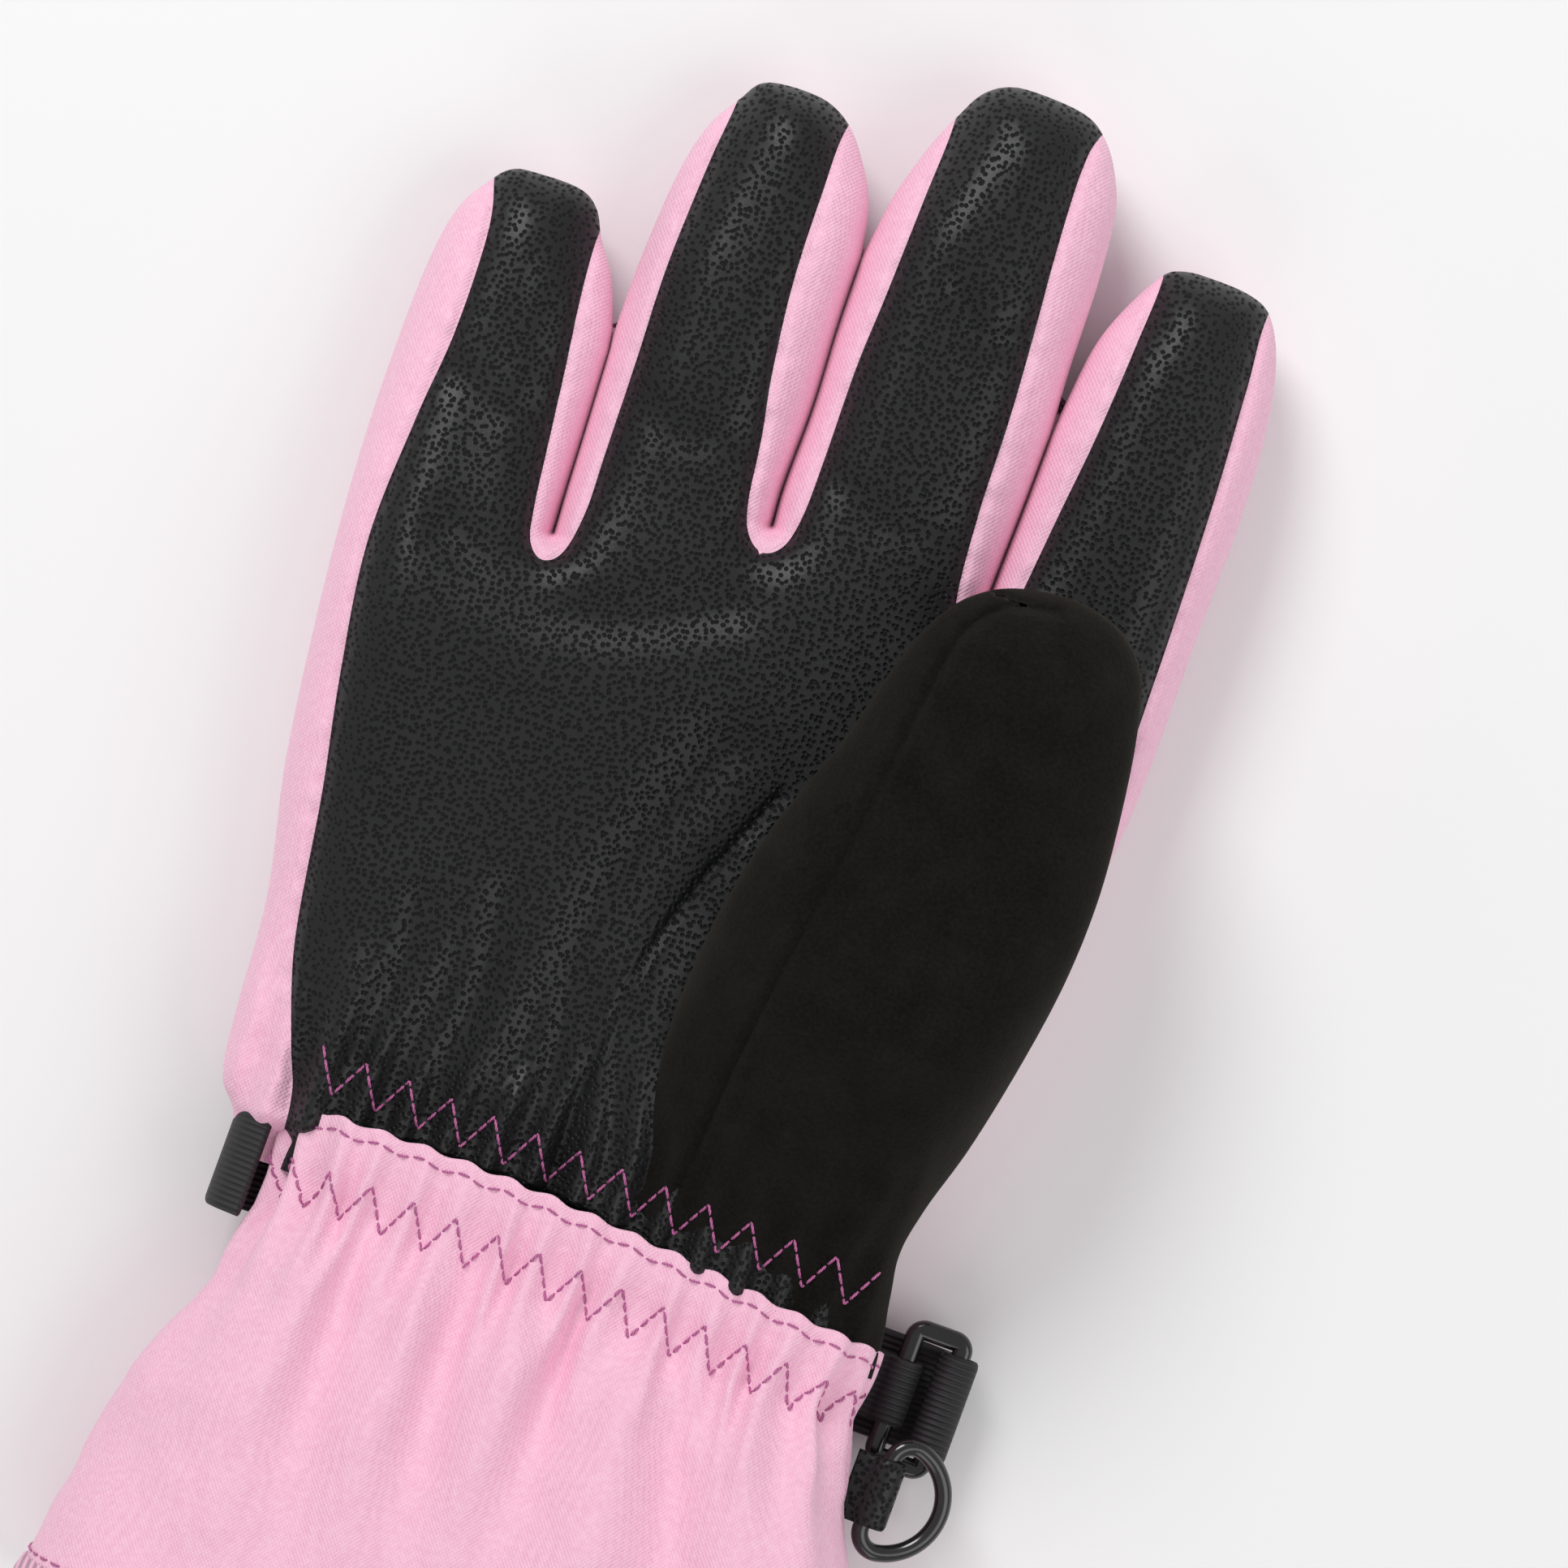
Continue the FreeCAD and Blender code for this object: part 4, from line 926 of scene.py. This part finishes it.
def lining_out(s, y):
    """Just inside the cuff, closing to the hand's lining at the throat."""
    throat = ramp(y, -74, -58)
    return cuff_out(s, y) * 0.5 * ramp(y, -60, -80) - 2.2 - 5.6 * throat


cuff_lining = tube("cuff_fleece", 60, lambda s: np.full_like(s, -57.0), at_cuff_end,
                   lining_out, FLEECE, around=240)
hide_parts("cuff_lining")
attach(cuff_lining, "hand")


def hem_piece():
    """The binding folded over the hem: a rounded strip, outside to inside."""
    s = np.arange(360) / 360
    outer = cuff_out(s, at_cuff_end(s))
    profile = [(5.2, -0.1), (4.6, 0.55), (2.6, 0.7), (0.9, 0.45), (0.1, -0.4), (0.0, -1.3), (0.3, -2.2),
               (1.6, -3.0), (3.6, -3.1), (5.2, -2.8)]  # up from the hem, out from the cuff
    rows = [tube_point(s, np.full_like(s, HEM + dy), outer + dr) for dy, dr in profile]
    n = len(s)
    faces = [(r * n + k, r * n + (k + 1) % n, (r + 1) * n + (k + 1) % n, (r + 1) * n + k)
             for r in range(len(rows) - 1) for k in range(n)]
    return new_mesh("hem_binding", np.vstack(rows), faces, BINDING)


hem = hem_piece()
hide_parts("cuff_hem_binding")
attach(hem, "hand")


# ---------------------------------------------------------------- strap, tabs and hardware
def ribbon(name, path, low_y, width, thickness, material, step=0.5):
    """A band of webbing that follows (x, z) points, with rounded selvedges."""
    line = smooth(path, step)
    along = np.gradient(line, axis=0)
    along /= np.linalg.norm(along, axis=1)[:, None]
    side = np.column_stack([-along[:, 1], along[:, 0]])
    half = thickness / 2
    section = [(0, -0.35), (0.35, -0.8), (0.9, -1), *[(v, -1) for v in np.linspace(1.6, width - 1.6, 9)],
               (width - 0.9, -1), (width - 0.35, -0.8), (width, -0.35)]
    section += [(v, -w) for v, w in reversed(section)]
    rows = []
    for v, w in section:
        q = line + side * (w * half)
        rows.append(np.column_stack([q[:, 0], np.full(len(q), low_y + v), q[:, 1]]))
    n, m = len(line), len(section)
    points = np.vstack(rows)
    faces = [(r * n + k, r * n + k + 1, ((r + 1) % m) * n + k + 1, ((r + 1) % m) * n + k)
             for r in range(m) for k in range(n - 1)]
    faces += [tuple(r * n for r in range(m))[::-1], tuple(r * n + n - 1 for r in range(m))]
    obj = new_mesh(name, points, faces, material)
    fix_normals(obj)
    return obj


def fix_normals(obj):
    import bmesh
    work = bmesh.new()
    work.from_mesh(obj.data)
    bmesh.ops.recalc_face_normals(work, faces=work.faces)
    work.to_mesh(obj.data)
    work.free()


def mm_box(node):
    low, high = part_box(node)
    return np.array(low) / MM, np.array(high) / MM


def turn(x, z, radius, start, end, steps=8):
    a = np.radians(np.linspace(start, end, steps))
    return [(x + radius * math.cos(t), z + radius * math.sin(t)) for t in a]


strap_low, strap_high = mm_box("wrist_strap")
buckle_low, buckle_high = mm_box("buckle")
tail_low, tail_high = mm_box("strap_tail")
BAR, WALL = 3.0, 1.3
outer_x, bar_z = buckle_high[0] - BAR / 2, (buckle_low[2] + buckle_high[2]) / 2
inner_x = buckle_low[0] + BAR / 2
strap_y, strap_w = strap_low[1], strap_high[1] - strap_low[1]
strap_z = 4.35
tail_z = (tail_low[2] + tail_high[2]) / 2
reach = BAR / 2 + 0.25 + WALL / 2
left = strap_low[0] + WALL / 2
strap_path = [(left + 5.0, 23.4), (left + 1.4, 21), (left, 17), (left + 1, strap_z + 5),
              (left + 4.5, strap_z + 1.4), (left + 9, strap_z), (left + 30, strap_z), (20, strap_z),
              (inner_x + 1.5, strap_z), *turn(outer_x, bar_z, reach, 205, -55, 9),
              (inner_x + 2.5, tail_z + 0.6), (tail_high[0] + 2, tail_z), (tail_high[0] + 0.1, tail_z)]
strap = ribbon("wrist_webbing", strap_path, strap_y, strap_w, WALL, WEBBING)
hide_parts("wrist_strap")
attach(strap, "hand")
tail = ribbon("strap_tail_webbing", [(tail_high[0], tail_z), (20, tail_z), (tail_low[0] + 6, tail_z),
                                     (tail_low[0], tail_z)], strap_y, strap_w, WALL, WEBBING)
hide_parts("strap_tail")
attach(tail, "strap_end")


def bar_tab(node, material):
    """A folded tab: a strip that runs out, round a bar, and back, stitched near the seam."""
    low, high = mm_box(node)
    wall = 1.0
    radius = (high[2] - low[2]) / 2 - wall / 2
    z = (high[2] + low[2]) / 2
    x = high[0] - radius - wall / 2
    seam_half, neck_half = 0.55, 0.7  # half the stack of two plies, at the seam and beside the bar
    neck = x - radius - 0.6
    path = [(low[0], z + seam_half), (neck, z + neck_half), *turn(x, z, radius, 125, -125, 12),
            (neck, z - neck_half), (low[0], z - seam_half)]
    obj = ribbon(node + "_fold", path, low[1], high[1] - low[1], wall, material, 0.25)
    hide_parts(node)
    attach(obj, "hand")
    return obj


bar_tab("d_ring_tab", LEATHER)
bar_tab("buckle_tab", WEBBING)

carried = {"buckle": PLASTIC, "d_ring": PLASTIC, "loop_patch": LOOPS, "hook_patch": HOOKS}
for node, material in carried.items():
    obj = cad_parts[node]
    obj.data.materials.clear()
    obj.data.materials.append(material)


# ---------------------------------------------------------------- stitching
def stitches(name, points, normals, length, gap, radius, material):
    """Separate stitches of thread laid along points, each sunk at its ends."""
    p = np.asarray(points, float)
    n = np.asarray(normals, float)
    run = np.concatenate([[0], np.cumsum(np.linalg.norm(np.diff(p, axis=0), axis=1))])
    data = bpy.data.curves.new(name, "CURVE")
    data.dimensions = "3D"
    data.bevel_depth = radius * MM
    data.bevel_resolution = 2
    data.resolution_u = 3
    data.use_fill_caps = True
    start = 0.0
    while start + length <= run[-1]:
        at = start + length * np.array([0.0, 0.18, 0.5, 0.82, 1.0])
        lift = np.array([-0.3, 0.1, 0.22, 0.1, -0.3])
        q = np.column_stack([np.interp(at, run, p[:, k]) + np.interp(at, run, n[:, k]) * lift
                             for k in range(3)])
        spline = data.splines.new("NURBS")
        spline.points.add(len(q) - 1)
        for k, v in enumerate(q * MM):
            spline.points[k].co = (*v, 1)
        spline.order_u = 3
        spline.use_endpoint_u = True
        start += length + gap
    data.materials.append(material)
    obj = bpy.data.objects.new(name, data)
    bpy.context.collection.objects.link(obj)
    return obj


def surface_height(p):
    """Height of whichever skin is on top at plan points: the palm's or the thumb's."""
    out = None
    for form, relief in ((hand, palm_relief), (thumb, thumb_relief)):
        d, _ = form.edge.nearest(p)
        r = form.radius(p)
        outline = hand_outline if form is hand else thumb_outline
        lift = np.sqrt(np.maximum(1 - (1 - np.minimum(d / r, 1)) ** 2, 0))
        up, middle, _ = form.levels(p)
        z = middle + (up - middle) * lift + relief(p) * ramp(lift, 0.1, 0.85)
        z = np.where(inside(p, outline), z, -50)
        out = z if out is None else np.maximum(out, z)
    return out


def zigzag(start, end, line, pitch, size):
    """Plan points of a zigzag whose middle follows line(x)."""
    n = int(round((end - start) / pitch)) * 2
    x = np.linspace(start, end, n + 1)
    y = line(x) + size * np.where(np.arange(n + 1) % 2 == 0, 1, -1)
    dense_x = np.linspace(start, end, n * 14 + 1)
    return np.column_stack([dense_x, np.interp(dense_x, x, y)])


zig = zigzag(-41.5, 46.0, lambda x: np.interp(x, [-42, 47], [-41.6, -45.2]), GATHER, 3.1)
height = surface_height(zig)
thread = stitches("wrist_zigzag", np.column_stack([zig, height + 0.05]),
                  np.tile([0, 0, 1.0], (len(zig), 1)), 1.7, 0.45, 0.21, THREAD)
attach(thread, "hand")


def tube_thread(name, s, y, length, gap, radius, material):
    out = cuff_out(s, y)
    p = tube_point(s, y, out + 0.05)
    n = tube_point(s, y, out + 1.05) - p
    obj = stitches(name, p, n, length, gap, radius, material)
    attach(obj, "hand")
    return obj


s = np.linspace(0, 1, 3000)
tube_thread("cuff_topstitch", s, cuff_edge(s) - 2.1, 2.0, 0.5, 0.17, THREAD)
corners = np.linspace(0.0, 1.0, 2 * ROUND + 1)
wave = np.interp(s, corners, np.where(np.arange(len(corners)) % 2 == 0, 1.0, -1.0))
tube_thread("cuff_zigzag", s, gather_y(s) + 3.2 * wave, 1.6, 0.4, 0.2, THREAD)
tube_thread("hem_stitch", s, np.full_like(s, HEM + 6.2), 2.4, 0.6, 0.17, THREAD)

# ---------------------------------------------------------------- stage, light and camera
floor_mesh = bpy.data.meshes.new("floor")
FLOOR_HALF = 3.0
floor_corners = [(x * FLOOR_HALF, y * FLOOR_HALF, 0) for x, y in ((-1, -1), (1, -1), (1, 1), (-1, 1))]
floor_mesh.from_pydata(floor_corners, [], [(0, 1, 2, 3)])
floor = bpy.data.objects.new("floor", floor_mesh)
floor.location.z = -0.0002
bpy.context.collection.objects.link(floor)
paper = Nodes("paper", roughness=0.9)
paper.shader.inputs["Base Color"].default_value = (0.86, 0.86, 0.86, 1)
paper.shader.inputs["Specular IOR Level"].default_value = 0.05
floor_mesh.materials.append(paper.material)

world = bpy.data.worlds.new("studio")
bpy.context.scene.world = world
world.use_nodes = True
world.node_tree.nodes["Background"].inputs[0].default_value = (1, 1, 1, 1)
world.node_tree.nodes["Background"].inputs[1].default_value = 0.47


def soft_light(name, place, size, power):
    data = bpy.data.lights.new(name, "AREA")
    data.shape = "DISK"
    data.size = size
    data.energy = power
    obj = bpy.data.objects.new(name, data)
    obj.location = place
    obj.rotation_mode = "QUATERNION"
    obj.rotation_quaternion = (Vector((0, 0, 0.02)) - Vector(place)).to_track_quat("-Z", "Y")
    bpy.context.collection.objects.link(obj)


soft_light("key", (-0.55, 0.75, 0.85), 0.55, 8.5)
soft_light("fill", (0.8, -0.1, 0.9), 0.9, 3.6)
soft_light("rim", (0.1, -0.9, 0.6), 0.7, 1.6)

TURN = math.radians(20)   # the glove lies turned in the picture
VIEW = 0.230              # the width of what the camera sees, at the glove
AIM = (0.0084, 0.0203, 0.02)
camera_data = bpy.data.cameras.new("camera")
camera = bpy.data.objects.new("camera", camera_data)
bpy.context.collection.objects.link(camera)
camera_data.sensor_width = 36.0
camera_data.lens = 200.0
distance = VIEW * camera_data.lens / camera_data.sensor_width
camera_data.clip_start, camera_data.clip_end = 0.05, 10
camera.location = (AIM[0], AIM[1], AIM[2] + distance)
camera.rotation_euler = (0, 0, TURN)
bpy.context.scene.camera = camera
bpy.context.scene.view_settings.view_transform = "Standard"
